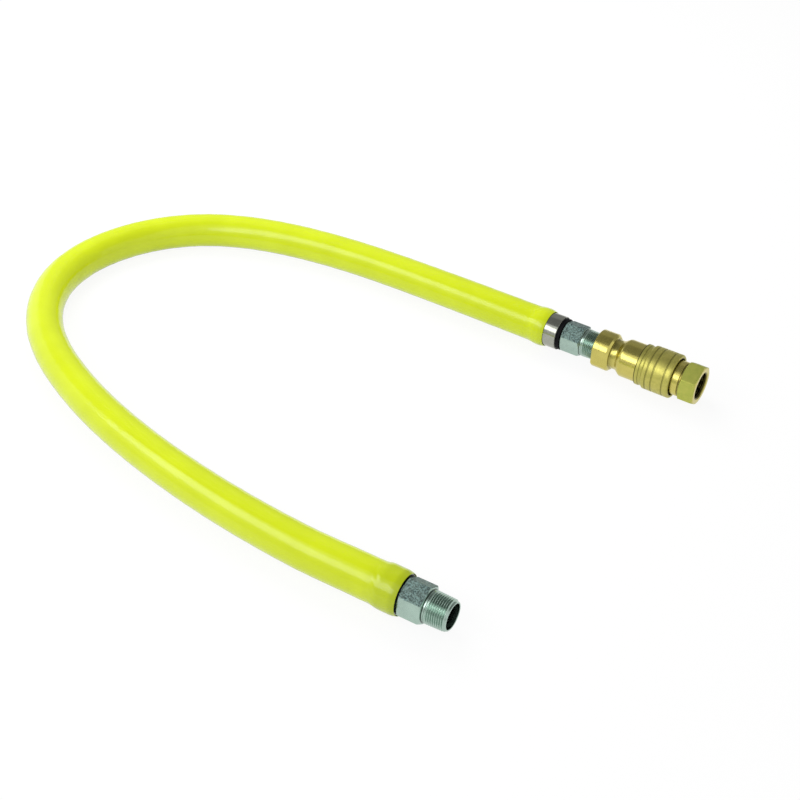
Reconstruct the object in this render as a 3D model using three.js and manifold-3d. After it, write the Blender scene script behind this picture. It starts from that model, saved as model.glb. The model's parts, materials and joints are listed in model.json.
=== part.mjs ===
// A flexible gas hose with a yellow coating. One end is a fixed male nipple. The other end is a
// swivel nipple that carries a brass quick-disconnect coupling with its plug locked in.
// Millimetres, +Z up, the hose lies on the plane z = 0 and the coupling's axis runs along +X.

import * as THREE from "three";
import { mergeVertices } from "three/addons/utils/BufferGeometryUtils.js";
import Module from "manifold-3d";

const wasm = await Module();
wasm.setup();

// Clearance between pieces that touch, and how round the solids are
const fitGap = 0.3;
const tubeSides = 12;
const tubeSteps = 36;
const turnedSides = 20;
const smallSides = 8;
const wireSides = 5;
const stepsPerTurn = 14;
const windowSides = 10;
const tubeFlat = Math.cos(Math.PI / tubeSides);
const turnedFlat = Math.cos(Math.PI / turnedSides);

// Edges and overlaps that the turned pieces share: a broken edge, how far a hexagon's turned core
// lies below its flats and behind its face, and how far the hexagon's own hole lies inside the core
const brokenEdge = 0.5;
const coreBelowFlats = 0.6;
const coreBehindFace = 1;
const hexInCore = 0.5;

// Hexagons: the turned face inside the flats, what is left of a sharp corner, the chamfer's angle
const hexFaceRelief = 0.2;
const hexCornerShare = 0.99;
const hexChamferAngle = 30;

// Hose layers, from the outside in
const hoseDiameter = 34.6;
const coatingWall = 1.8;
const braidWall = 1.1;
const corrugationDepth = 3.2;

// Hose ends, the same at both fittings
const collarWall = 0.7;
const cuffWall = 1.7;
const cuffTaper = 2.5;
const cuffFoot = 0.2;
const cuffRoundLength = 5;
const cuffRoundDrop = 1.1;
const cuffCoverStep = 1;
const collarEdge = 0.3;
const braidCollarSetback = 0.5;
const spigotLength = 22;
const braidSetback = 3.5;
const nearCuffLength = 20;
const farCuffLength = 14;

// Pipe thread of nominal size 3/4: outside diameter, taper on the radius, lead-in at its end
const threadDiameter = 26.67;
const threadTaper = 1 / 32;
const threadLeadIn = 1.5;
const threadLeadInDrop = 1.1;

// Near nipple
const nearHexFlats = 29.4;
const nearHexLength = 20;
const nearHexTurn = 51;
const nippleNeck = 2.3;
const nearThreadLength = 16.4;
const neckRelief = 0.9;
const nearBoreMouth = 10.4;
const nearBoreMouthDepth = 7;
const nearBoreStep = 1;
const nearBore = 9.4;

// Swivel between the hose and the coupling
const collarShown = 12.7;
const swivelHousingWall = 2.12;
const swivelBoreDepth = 20.5;
const housingGasBore = 8.2;
const dustRingLength = 3.7;
const dustRingWall = 3.9;
const swivelHexFlats = 27.4;
const swivelHexLength = 19.9;
const swivelHexTurn = 7;
const swivelThreadLength = 20.9;
const shankGasBore = 7;
const swivelBoreFlare = 2;
const swivelNippleBore = 9.6;
const sealWire = 0.75;
const sealGrooveWidth = 2.2;
const swivelSealSpacing = 6;
const swivelSealFromMouth = 16;
const retainerWire = 0.8;
const retainerFromMouth = 3.7;
const retainerReach = 0.9;
const retainerArc = 330;

// Socket of the coupling: tail and barrel
const threadShown = 12.6;
const tailHeadLength = 16.8;
const tailHeadChamfer = 2.1;
const tailFlats = 31.8;
const tailFlatTurn = 89;
const tailNeckRadius = 14.1;
const tailNeckFillet = 1.6;
const tailNeckLength = 5.2;
const tailFlareLength = 7.3;
const flareFoot = [0.3, 0.18];
const flareShoulder = [0.8, 0.86];
const tailRadius = 18.1;
const tailCylinderLength = 17.9;
const tailGasBore = 9.5;
const tailMouthChamfer = 1;
const tailPocketBeyondNipple = 1.5;
const valveChamber = 14.5;
const valveChamberDepth = 18;
const barrelSpigotWall = 2.4;
const barrelSpigotDepth = 6;
const barrelLength = 29.4;
const barrelBore = 12;
const barrelMouthChamfer = 0.6;
const seatBore = 9.5;
const seatDepth = 1.3;
const seatLength = 3.2;
const seatToBore = 0.5;
const plugSealFromSeat = 9.2;
const plugSealWire = 0.8;
const plugSealGroove = 13.95;

// Locking balls and the sleeve that holds them in
const ballCount = 8;
const ballDiameter = 4.8;
const ballGrip = 0.85;
const ballFromMouth = 7.5;
const ballHoleOvershoot = 1.5;
const sleeveRadius = 20.9;
const skirtOverlap = 2;
const skirtRadius = 19.1;
const skirtBeadRadius = 19.6;
const skirtBeadLength = 3.3;
const skirtLength = 6.6;
const skirtFlare = 1.4;
const shoulderRound = 0.5;
const sleeveBeyondBarrel = 2.5;
const landLength = 9.3;
const landClearance = 0.25;
const landBeyondBall = 3.3;
const releaseRecess = 18;
const sleeveGrooves = [11.8, 17.7, 28.3];
const sleeveGrooveWidth = 1.4;
const sleeveGrooveDepth = 0.5;
const sleeveEdge = 0.9;
const sleeveSpringWire = 0.9;
const sleeveSpringTurns = 4;
const stopRingThickness = 1.2;
const stopRingReach = 1.3;
const stopRingBite = 0.65;
const stopRingOpening = 24;

// Valve inside the socket, pushed open by the plug
const guideThickness = 1.8;
const guideWindows = 4;
const guideWindowRadius = 3.4;
const guideWindowCircle = 9;
const stemRadius = 2.5;
const stemBehindGuide = 2.8;
const valveSpringLength = 6.1;
const valveSpringRadius = 8.5;
const valveSpringWire = 0.7;
const valveSpringTurns = 3;
const poppetRadius = 11.3;
const poppetThickness = 2.8;
const poppetSealLength = 1.5;
const poppetSealTaper = 0.3;
const crownRadius = 9;
const crownWall = 1.4;
const crownWindowWidth = 5;
const crownWindowLength = 6;

// Plug
const nosePassage = 8;
const noseTipChamfer = 1;
const plugCollarRadius = 16.4;
const plugCollarLength = 10.5;
const plugHexFlats = 34.9;
const plugHexLength = 15.4;
const plugHexTurn = 55.5;
const plugThreadDepth = 17;
const plugThreadHeight = 1;
const plugMouthChamfer = 1;
const plugBoreStep = 2;
const ballGrooveMargin = 0.2;

// Route of the hose's centre line on the floor, from the near end to the coupling
const route = [
  [240.6, -177.2], [215.65, -178.77], [190.7, -180.34], [150.9, -182.5], [105.5, -181.9],
  [60.5, -179.8], [15.8, -175.7], [-28.5, -169.7], [-72.4, -161.5], [-115.9, -150.7],
  [-158.9, -136.6], [-201.3, -118.5], [-240.2, -94.6], [-272.3, -63.1], [-293.5, -24.6],
  [-299.7, 18.3], [-290.5, 61.5], [-268.6, 99.9], [-236.7, 130.3], [-197.5, 151.6],
  [-153.9, 165.7], [-108.8, 174.4], [-63.6, 178.9], [-18.2, 180], [27.2, 179.5],
  [72.4, 178.8], [112.5, 178.5], [137.4, 178.5], [162.3, 178.5],
];
const levelEnd = 55;
const nearRiseLength = 150;
const farRiseLength = 270;

// Radii of the hose layers and of what is pressed onto their ends
const hoseRadius = hoseDiameter / 2;
const coatingInner = hoseRadius - coatingWall;
const braidOuter = coatingInner - fitGap;
const braidInner = braidOuter - braidWall;
const tubeOuter = braidInner - fitGap;
const tubeInner = tubeOuter - corrugationDepth;
const spigotRadius = braidInner * tubeFlat - fitGap;
const collarInner = (braidOuter + fitGap) / turnedFlat;
const collarOuter = collarInner + collarWall;
const flangeRadius = collarInner - fitGap;
const cuffInner = collarOuter + fitGap;
const cuffOuter = cuffInner + cuffWall;
const flangeStart = -(braidSetback - fitGap);
const swivelBore = spigotRadius - swivelHousingWall;
const dustRingRadius = swivelBore + dustRingWall;
const threadRadius = threadDiameter / 2;

// Stations along the coupling, measured from the coating's far end
const dustRingStart = collarShown + fitGap;
const dustRingEnd = dustRingStart + dustRingLength;
const swivelHexStart = dustRingEnd + fitGap;
const swivelHexEnd = swivelHexStart + swivelHexLength;
const swivelThreadStart = swivelHexEnd + nippleNeck;
const swivelThreadEnd = swivelThreadStart + swivelThreadLength;
const swivelNippleEnd = swivelThreadEnd + threadLeadIn;
const swivelBoreEnd = collarShown - swivelBoreDepth;
const tailStart = swivelThreadStart + threadShown;
const tailHeadEnd = tailStart + tailHeadLength;
const tailNeckEnd = tailHeadEnd + tailNeckLength;
const tailFlareEnd = tailNeckEnd + tailFlareLength;
const tailEnd = tailFlareEnd + tailCylinderLength;
const chamberStart = tailEnd - valveChamberDepth;
const barrelRear = tailEnd - barrelSpigotDepth;
const barrelShoulder = tailEnd + fitGap;
const barrelFront = barrelShoulder + barrelLength;
const seatStart = tailEnd + seatDepth;
const seatEnd = seatStart + seatLength;
const plugSealCentre = seatEnd + plugSealFromSeat - seatLength;
const ballStation = barrelFront - ballFromMouth;
const sleeveRear = tailEnd - skirtOverlap;
const sleeveFront = barrelFront + sleeveBeyondBarrel;
const landEnd = ballStation + landBeyondBall;
const landStart = landEnd - landLength;
const stopRingStart = landEnd + fitGap;
const stopRingEnd = stopRingStart + stopRingThickness;
const guideStart = chamberStart + fitGap;
const guideEnd = guideStart + guideThickness;
const valveSpringEnd = guideEnd + fitGap + valveSpringLength;
const poppetStart = valveSpringEnd + fitGap;
const poppetEnd = poppetStart + poppetThickness;
const plugShoulder = barrelFront + fitGap;
const noseTip = seatEnd + seatToBore + fitGap + noseTipChamfer;
const plugHexStart = plugShoulder + plugCollarLength;
const plugEnd = plugHexStart + plugHexLength;

// Radii that follow from a neighbour
const shankRadius = swivelBore - fitGap;
const barrelSpigot = valveChamber - fitGap;
const barrelRearBore = barrelSpigot - barrelSpigotWall;
const ballRadius = ballDiameter / 2;
const noseRadius = barrelBore - fitGap;
const ballCircle = noseRadius - ballGrip + ballRadius;
const landRadius = ballCircle + ballRadius + landClearance;
const barrelRadius = landRadius - fitGap;
const skirtBore = tailRadius + fitGap;
const stopGroove = barrelRadius - stopRingBite - fitGap;

const yellowCoating = new THREE.MeshStandardMaterial({ color: 0xd6e634, roughness: 0.35 });
const stainless = new THREE.MeshStandardMaterial({ color: 0xb9bab6, roughness: 0.25, metalness: 1 });
const zincSteel = new THREE.MeshStandardMaterial({ color: 0x9fb4b0, roughness: 0.4, metalness: 1 });
const brass = new THREE.MeshStandardMaterial({ color: 0xc9b75a, roughness: 0.28, metalness: 1 });
const dullBrass = new THREE.MeshStandardMaterial({ color: 0xa9a04e, roughness: 0.45, metalness: 1 });
const springSteel = new THREE.MeshStandardMaterial({ color: 0xa6a8aa, roughness: 0.3, metalness: 1 });
const rubber = new THREE.MeshStandardMaterial({ color: 0x1c1c1e, roughness: 0.7 });

function namedMesh(name, geometry, material) {
  const mesh = new THREE.Mesh(geometry, material);
  mesh.name = name;
  return mesh;
}

// A closed geometry as a solid for joining and cutting
function toSolid(geometry) {
  const bare = geometry.clone();
  bare.deleteAttribute("normal");
  bare.deleteAttribute("uv");
  const merged = mergeVertices(bare, 1e-4);
  const corners = Array.from(merged.index.array);
  const kept = [];
  for (let i = 0; i < corners.length; i += 3) {
    const [a, b, c] = corners.slice(i, i + 3);
    if (a !== b && b !== c && c !== a) {
      kept.push(a, b, c);
    }
  }
  return new wasm.Manifold(new wasm.Mesh({
    numProp: 3,
    vertProperties: new Float32Array(merged.attributes.position.array),
    triVerts: new Uint32Array(kept),
  }));
}

function toGeometry(solid) {
  const mesh = solid.getMesh();
  const geometry = new THREE.BufferGeometry();
  geometry.setAttribute("position", new THREE.BufferAttribute(new Float32Array(mesh.vertProperties), 3));
  geometry.setIndex(new THREE.BufferAttribute(new Uint32Array(mesh.triVerts), 1));
  geometry.computeVertexNormals();
  return geometry;
}

// A turned shape about the X axis. The outline lists [x, radius] forward along the outside,
// then back along the bore. It closes on itself where it doesn't start on the axis.
function turned(outline, sides = turnedSides) {
  const points = outline.map(([x, radius]) => new THREE.Vector2(radius, x));
  if (outline[0][1] > 0) {
    points.push(points[0].clone());
  }
  const geometry = new THREE.LatheGeometry(points, sides);
  geometry.rotateZ(-Math.PI / 2);
  return geometry;
}

// Points of an arc in an outline, about a centre at x and radius, angles in degrees
function arc(x, radius, size, from, to, steps) {
  const points = [];
  for (let i = 0; i <= steps; i += 1) {
    const angle = THREE.MathUtils.degToRad(from + (to - from) * i / steps);
    points.push([x + size * Math.cos(angle), radius + size * Math.sin(angle)]);
  }
  return points;
}

// A hexagon about the X axis with its corners turned off at both ends
function hexagon(flats, start, end, turn, inner) {
  const side = flats / Math.sqrt(3);
  const faceRadius = flats / 2 - hexFaceRelief;
  const cornerRadius = side * hexCornerShare;
  const chamfer = (cornerRadius - faceRadius) * Math.tan(THREE.MathUtils.degToRad(hexChamferAngle));
  const prism = new THREE.CylinderGeometry(side, side, end - start, 6);
  prism.rotateZ(-Math.PI / 2);
  prism.rotateX(THREE.MathUtils.degToRad(turn));
  prism.translate((start + end) / 2, 0, 0);
  const turnedOff = turned([
    [start, faceRadius], [start + chamfer, cornerRadius], [end - chamfer, cornerRadius],
    [end, faceRadius], [end, inner], [start, inner],
  ]);
  return toSolid(prism).intersect(toSolid(turnedOff));
}

// Radius of the male pipe thread at a distance from where it starts
function maleThread(distance) {
  return threadRadius - threadTaper * distance;
}

// A ring of round section about the X axis
function sealRing(centre, radius, wire) {
  const geometry = new THREE.TorusGeometry(radius, wire, wireSides, turnedSides);
  geometry.rotateY(Math.PI / 2);
  geometry.translate(centre, 0, 0);
  return geometry;
}

// A helical spring about the X axis, between two seats
class Helix extends THREE.Curve {
  constructor(start, end, radius, turns) {
    super();
    this.start = start;
    this.end = end;
    this.radius = radius;
    this.turns = turns;
  }

  getPoint(t, target = new THREE.Vector3()) {
    const angle = 2 * Math.PI * this.turns * t;
    const x = this.start + (this.end - this.start) * t;
    return target.set(x, this.radius * Math.cos(angle), this.radius * Math.sin(angle));
  }
}

function ringShape(outer, inner, sides) {
  const corner = (radius, i) => new THREE.Vector2(
    radius * Math.cos(2 * Math.PI * i / sides),
    radius * Math.sin(2 * Math.PI * i / sides),
  );
  const indices = Array.from({ length: sides }, (_, i) => i);
  const shape = new THREE.Shape(indices.map((i) => corner(outer, i)));
  if (inner > 0) {
    shape.holes.push(new THREE.Path(indices.map((i) => corner(inner, i))));
  }
  return shape;
}

function swept(shape, path, steps) {
  return new THREE.ExtrudeGeometry(shape, { extrudePath: path, steps, bevelEnabled: false });
}

function spring(start, end, radius, wire, turns) {
  const path = new Helix(start + fitGap + wire, end - fitGap - wire, radius, turns);
  return swept(ringShape(wire, 0, wireSides), path, turns * stepsPerTurn);
}

// The centre line rests at the hose's radius and rises to the height of each fitting's axis
function hoseRoute() {
  const ground = route.map(([x, y]) => new THREE.Vector2(x, y));
  const first = ground[0];
  const last = ground[ground.length - 1];
  const points = ground.map((point) => {
    const nearShare = 1 - THREE.MathUtils.smoothstep(point.distanceTo(first), levelEnd, nearRiseLength);
    const farShare = 1 - THREE.MathUtils.smoothstep(point.distanceTo(last), levelEnd, farRiseLength);
    const rise = nearShare * (cuffOuter - hoseRadius) + farShare * (sleeveRadius - hoseRadius);
    return new THREE.Vector3(point.x, point.y, hoseRadius + rise);
  });
  const curve = new THREE.CatmullRomCurve3(points);
  curve.arcLengthDivisions = 1500;
  return curve;
}

// The coating's end, swollen over the collar beneath it
function cuff(length) {
  const rear = -length - cuffTaper;
  return turned([
    [rear, hoseRadius], [-length, hoseRadius + cuffFoot], [-length + cuffTaper, cuffOuter],
    [-cuffRoundLength, cuffOuter], [-cuffRoundLength / 2, cuffOuter - cuffRoundDrop / 4],
    [0, cuffOuter - cuffRoundDrop], [0, cuffInner], [-length + cuffCoverStep - fitGap, cuffInner],
    [-length - fitGap, coatingInner + fitGap], [rear, coatingInner + fitGap],
  ]);
}

// A layer of the hose, cut square at a setback from each end of the coating
function hoseLayer(curve, ends, outer, inner, setbacks) {
  let layer = toSolid(swept(ringShape(outer, inner, tubeSides), curve, tubeSteps));
  ends.forEach((end, i) => {
    const cutter = new THREE.CylinderGeometry(2 * outer, 2 * outer, 2 * setbacks[i], smallSides);
    cutter.rotateZ(-Math.PI / 2);
    cutter.applyMatrix4(end.matrix);
    layer = layer.subtract(toSolid(cutter));
  });
  return layer;
}

function jacket(curve, ends) {
  const cuffLengths = [nearCuffLength, farCuffLength];
  const setbacks = cuffLengths.map((length) => length + cuffTaper / 4);
  let coating = hoseLayer(curve, ends, hoseRadius, coatingInner, setbacks);
  ends.forEach((end, i) => {
    coating = coating.add(toSolid(cuff(cuffLengths[i]).applyMatrix4(end.matrix)));
  });
  return toGeometry(coating);
}

function innerLayer(curve, ends, outer, inner, setback) {
  return toGeometry(hoseLayer(curve, ends, outer, inner, [setback, setback]));
}

// Spigot that the inner tube is welded to, with the flange that the collar ends on
function spigotOutline() {
  return [[-spigotLength, spigotRadius], [flangeStart, spigotRadius], [flangeStart, flangeRadius]];
}

// Neck, tapered thread and lead-in of a nipple, from the end of its hexagon
function nippleThreadOutline(hexEnd, hexFlats, length) {
  const start = hexEnd + nippleNeck;
  const end = start + length;
  return [
    [hexEnd, hexFlats / 2 - coreBelowFlats], [hexEnd + nippleNeck / 3, threadRadius - neckRelief],
    [start - neckRelief, threadRadius - neckRelief], [start, threadRadius], [end, maleThread(length)],
    [end + threadLeadIn, maleThread(length) - threadLeadInDrop],
  ];
}

function nearNipple() {
  const hexStart = fitGap;
  const hexEnd = hexStart + nearHexLength;
  const end = hexEnd + nippleNeck + nearThreadLength + threadLeadIn;
  const mouthEnd = end - nearBoreMouthDepth;
  const body = turned([
    ...spigotOutline(), [hexStart + coreBehindFace, flangeRadius],
    [hexStart + coreBehindFace, nearHexFlats / 2 - coreBelowFlats],
    ...nippleThreadOutline(hexEnd, nearHexFlats, nearThreadLength),
    [end, nearBoreMouth], [mouthEnd, nearBoreMouth], [mouthEnd - nearBoreStep, nearBore],
    [-spigotLength, nearBore],
  ]);
  const head = hexagon(nearHexFlats, hexStart, hexEnd, nearHexTurn, nearBore + hexInCore);
  return toGeometry(toSolid(body).add(head));
}

function collar(rear, front) {
  return turned([
    [rear, collarOuter], [front - collarEdge, collarOuter], [front, collarOuter - collarEdge],
    [front, collarInner], [rear, collarInner],
  ]);
}

// Stations of the swivel's inside, measured from the coating's far end
const swivelSeals = [0, 1].map((i) => collarShown - swivelSealFromMouth + i * swivelSealSpacing);
const retainerStation = collarShown - retainerFromMouth;
const retainerCircle = swivelBore;
const retainerHalfWidth = retainerWire + fitGap;

function swivelHousing() {
  return turned([
    ...spigotOutline(), [collarShown, flangeRadius], [collarShown, swivelBore],
    [retainerStation + retainerHalfWidth, swivelBore],
    [retainerStation + retainerHalfWidth, retainerCircle + retainerWire + fitGap],
    [retainerStation - retainerHalfWidth, retainerCircle + retainerWire + fitGap],
    [retainerStation - retainerHalfWidth, swivelBore],
    [swivelBoreEnd, swivelBore], [swivelBoreEnd, housingGasBore], [-spigotLength, housingGasBore],
  ]);
}

// Split wire ring that keeps the swivel nipple in the housing
function retainingRing() {
  const sweep = THREE.MathUtils.degToRad(retainerArc);
  const path = new THREE.Curve();
  path.getPoint = (t, target = new THREE.Vector3()) => target.set(
    retainerStation, retainerCircle * Math.cos(sweep * t), retainerCircle * Math.sin(sweep * t),
  );
  return swept(ringShape(retainerWire, 0, wireSides), path, turnedSides - 2);
}

function dustRing() {
  return turned([
    [dustRingStart, dustRingRadius - brokenEdge], [dustRingStart + brokenEdge, dustRingRadius],
    [dustRingEnd - brokenEdge, dustRingRadius], [dustRingEnd, dustRingRadius - brokenEdge],
    [dustRingEnd, swivelBore], [dustRingStart, swivelBore],
  ]);
}

function grooveOutline(centre, halfWidth, surface, bottom) {
  return [
    [centre - halfWidth, surface], [centre - halfWidth, bottom],
    [centre + halfWidth, bottom], [centre + halfWidth, surface],
  ];
}

function swivelNipple() {
  const rear = swivelBoreEnd + fitGap;
  const sealBottom = shankRadius - 2 * sealWire - fitGap;
  const ringBottom = retainerCircle - retainerReach - fitGap;
  const inner = swivelNippleBore + hexInCore;
  const body = turned([
    [rear, shankRadius - brokenEdge], [rear + brokenEdge, shankRadius],
    ...grooveOutline(swivelSeals[0], sealGrooveWidth / 2, shankRadius, sealBottom),
    ...grooveOutline(swivelSeals[1], sealGrooveWidth / 2, shankRadius, sealBottom),
    ...grooveOutline(retainerStation, retainerHalfWidth, shankRadius, ringBottom),
    [swivelHexStart + coreBehindFace, shankRadius],
    [swivelHexStart + coreBehindFace, swivelHexFlats / 2 - coreBelowFlats],
    ...nippleThreadOutline(swivelHexEnd, swivelHexFlats, swivelThreadLength),
    [swivelNippleEnd, swivelNippleBore], [swivelHexStart + swivelBoreFlare, swivelNippleBore],
    [swivelHexStart, shankGasBore], [rear, shankGasBore],
  ]);
  const head = hexagon(swivelHexFlats, swivelHexStart, swivelHexEnd, swivelHexTurn, inner);
  return toGeometry(toSolid(body).add(head));
}

// Round head with two wrench flats, necked waist, flare and the cylinder that the sleeve slides on
function socketTail() {
  const pocketEnd = swivelNippleEnd + tailPocketBeyondNipple;
  const threadFrom = tailStart + tailMouthChamfer;
  const mouth = maleThread(tailStart - swivelThreadStart) + tailMouthChamfer;
  const flare = ([along, across]) => [
    tailNeckEnd + tailFlareLength * along, tailNeckRadius + (tailRadius - tailNeckRadius) * across,
  ];
  let tail = toSolid(turned([
    [tailStart, tailRadius - brokenEdge], [tailStart + brokenEdge, tailRadius],
    [tailHeadEnd - tailHeadChamfer, tailRadius], [tailHeadEnd, tailRadius - tailHeadChamfer],
    ...arc(tailHeadEnd + tailNeckFillet, tailNeckRadius + tailNeckFillet, tailNeckFillet, 180, 270, 3),
    [tailNeckEnd, tailNeckRadius], flare(flareFoot), flare(flareShoulder),
    [tailFlareEnd, tailRadius], [tailEnd, tailRadius],
    [tailEnd, valveChamber], [chamberStart, valveChamber], [chamberStart, tailGasBore],
    [pocketEnd, tailGasBore], [pocketEnd, maleThread(swivelThreadLength) + fitGap],
    [swivelNippleEnd, maleThread(swivelThreadLength) + fitGap],
    [threadFrom, maleThread(threadFrom - swivelThreadStart) + fitGap], [tailStart, mouth],
  ]));
  for (let i = 0; i < 2; i += 1) {
    const cut = new THREE.BoxGeometry(tailHeadLength + 2 * brokenEdge, 2 * tailRadius, tailRadius);
    cut.translate((tailStart + tailHeadEnd) / 2, 0, (tailFlats + tailRadius) / 2);
    cut.rotateX(THREE.MathUtils.degToRad(tailFlatTurn) + Math.PI * i);
    tail = tail.subtract(toSolid(cut));
  }
  return toGeometry(tail);
}

// Barrel with the valve seat, the seal grooves and the ring of ball holes
function socketBarrel() {
  const sealBottom = barrelSpigot - 2 * sealWire - fitGap;
  const sealCentre = (barrelRear + tailEnd) / 2;
  const outline = [
    [barrelRear, barrelSpigot],
    ...grooveOutline(sealCentre, sealGrooveWidth / 2, barrelSpigot, sealBottom),
    [barrelShoulder, barrelSpigot], [barrelShoulder, barrelRadius],
    [stopRingStart - fitGap, barrelRadius], [stopRingStart - fitGap, stopGroove],
    [stopRingEnd + fitGap, stopGroove], [stopRingEnd + fitGap, barrelRadius],
    [barrelFront - barrelMouthChamfer, barrelRadius], [barrelFront, barrelRadius - barrelMouthChamfer],
    [barrelFront, barrelBore + barrelMouthChamfer], [barrelFront - barrelMouthChamfer, barrelBore],
    ...grooveOutline(plugSealCentre, -plugSealWire - fitGap, barrelBore, plugSealGroove),
    [seatEnd + seatToBore, barrelBore], [seatEnd, seatBore], [seatStart, seatBore],
    [seatStart, barrelRearBore], [barrelRear, barrelRearBore],
  ];
  let barrel = toSolid(turned(outline));
  for (let i = 0; i < ballCount; i += 1) {
    const depth = barrelRadius - barrelBore + 2 * ballHoleOvershoot;
    const hole = new THREE.CylinderGeometry(ballRadius + fitGap, ballRadius + fitGap, depth, smallSides);
    hole.translate(0, (barrelRadius + barrelBore) / 2, 0);
    hole.rotateX(2 * Math.PI * i / ballCount);
    hole.translate(ballStation, 0, 0);
    barrel = barrel.subtract(toSolid(hole));
  }
  return toGeometry(barrel);
}

function lockingBall(index) {
  const geometry = new THREE.IcosahedronGeometry(ballRadius, 1);
  geometry.translate(0, ballCircle, 0);
  geometry.rotateX(2 * Math.PI * index / ballCount);
  geometry.translate(ballStation, 0, 0);
  return geometry;
}

function releaseSleeve() {
  const bead = sleeveRear + skirtBeadLength;
  const skirtEnd = sleeveRear + skirtLength;
  const grooves = sleeveGrooves.flatMap((fromRear) => grooveOutline(
    sleeveRear + fromRear, sleeveGrooveWidth / 2, sleeveRadius, sleeveRadius - sleeveGrooveDepth,
  ));
  const shoulder = skirtEnd + skirtFlare;
  return turned([
    [sleeveRear, skirtBeadRadius - brokenEdge], [sleeveRear + brokenEdge, skirtBeadRadius],
    [bead, skirtBeadRadius], [bead + brokenEdge, skirtRadius], [skirtEnd, skirtRadius],
    [shoulder, sleeveRadius - shoulderRound], [shoulder + shoulderRound, sleeveRadius],
    ...grooves,
    [sleeveFront - sleeveEdge, sleeveRadius], [sleeveFront, sleeveRadius - sleeveEdge],
    [sleeveFront, releaseRecess], [landEnd, releaseRecess], [landEnd, landRadius],
    [landStart, landRadius], [landStart, skirtBore], [sleeveRear, skirtBore],
  ]);
}

// Split flat ring on the barrel that stops the sleeve
function stopRing() {
  const inner = stopGroove + fitGap;
  const outer = barrelRadius + stopRingReach;
  const half = THREE.MathUtils.degToRad(stopRingOpening / 2);
  const shape = new THREE.Shape();
  shape.absarc(0, 0, outer, half, 2 * Math.PI - half, false);
  shape.absarc(0, 0, inner, 2 * Math.PI - half, half, true);
  const geometry = new THREE.ExtrudeGeometry(shape, {
    depth: stopRingThickness, bevelEnabled: false, curveSegments: turnedSides - 2,
  });
  geometry.rotateY(Math.PI / 2);
  geometry.translate(stopRingStart, 0, 0);
  return geometry;
}

// Spider that the valve's stem slides in, with windows for the gas
function valveGuide() {
  let guide = toSolid(turned([
    [guideStart, valveChamber - fitGap], [guideEnd, valveChamber - fitGap],
    [guideEnd, stemRadius + fitGap], [guideStart, stemRadius + fitGap],
  ]));
  for (let i = 0; i < guideWindows; i += 1) {
    const depth = 2 * guideThickness;
    const window = new THREE.CylinderGeometry(guideWindowRadius, guideWindowRadius, depth, windowSides);
    window.rotateZ(-Math.PI / 2);
    window.translate((guideStart + guideEnd) / 2, guideWindowCircle, 0);
    window.rotateX(2 * Math.PI * i / guideWindows);
    guide = guide.subtract(toSolid(window));
  }
  return toGeometry(guide);
}

// Stem, disc and the windowed crown that the plug's nose pushes on
function valvePoppet() {
  const crownEnd = noseTip - fitGap;
  let poppet = toSolid(turned([
    [guideStart - stemBehindGuide, 0], [guideStart - stemBehindGuide, stemRadius], [poppetStart, stemRadius],
    [poppetStart, poppetRadius], [poppetEnd, poppetRadius], [poppetEnd, crownRadius],
    [crownEnd, crownRadius], [crownEnd, crownRadius - crownWall], [poppetEnd, crownRadius - crownWall],
    [poppetEnd, 0],
  ]));
  const windowStart = poppetEnd + poppetSealLength + 2 * fitGap;
  for (let i = 0; i < 2; i += 1) {
    const window = new THREE.BoxGeometry(crownWindowLength, 3 * crownRadius, crownWindowWidth);
    window.translate(windowStart + crownWindowLength / 2, 0, 0);
    window.rotateX(Math.PI / 2 * i);
    poppet = poppet.subtract(toSolid(window));
  }
  return toGeometry(poppet);
}

function poppetSeal() {
  const start = poppetEnd + fitGap;
  return turned([
    [start, poppetRadius], [start + poppetSealLength, poppetRadius - poppetSealTaper],
    [start + poppetSealLength, crownRadius + fitGap], [start, crownRadius + fitGap],
  ]);
}

// Plug: nose with the ball groove, collar, hexagon and a female pipe thread
function plugBody() {
  const grooveTop = ballRadius + ballGrooveMargin;
  const grooveFloor = ballRadius / 2;
  const grooveRadius = noseRadius - ballGrip - fitGap;
  const threadBore = threadRadius - plugThreadHeight;
  const coreEnd = plugEnd - coreBehindFace;
  const threadEnd = plugEnd - plugThreadDepth;
  const body = turned([
    [noseTip, noseRadius - noseTipChamfer], [noseTip + noseTipChamfer, noseRadius],
    [ballStation - grooveTop, noseRadius], [ballStation - grooveFloor, grooveRadius],
    [ballStation + grooveFloor, grooveRadius], [ballStation + grooveTop, noseRadius],
    [plugShoulder, noseRadius], [plugShoulder, plugCollarRadius - brokenEdge],
    [plugShoulder + brokenEdge, plugCollarRadius], [coreEnd, plugCollarRadius],
    [coreEnd, threadBore + plugMouthChamfer], [coreEnd - plugMouthChamfer, threadBore],
    [threadEnd, threadBore - threadTaper * plugThreadDepth],
    [threadEnd - plugBoreStep, nosePassage], [noseTip, nosePassage],
  ]);
  const head = hexagon(plugHexFlats, plugHexStart, plugEnd, plugHexTurn, threadBore + plugMouthChamfer);
  return toGeometry(toSolid(body).add(head));
}

// Assembly
const curve = hoseRoute();
const nearEnd = new THREE.Group();
const [nearPoint, nearInward] = [curve.points[0], curve.points[1]];
nearEnd.position.copy(nearPoint);
nearEnd.rotation.z = Math.atan2(nearPoint.y - nearInward.y, nearPoint.x - nearInward.x);
nearEnd.updateMatrix();
const farEnd = new THREE.Group();
farEnd.position.copy(curve.points[curve.points.length - 1]);
farEnd.updateMatrix();
const ends = [nearEnd, farEnd];
const tubeSetback = spigotLength + fitGap;

nearEnd.add(
  namedMesh("near_nipple", nearNipple(), zincSteel),
  namedMesh("near_braid_collar", collar(cuffCoverStep - nearCuffLength, -braidCollarSetback), stainless),
);

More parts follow.
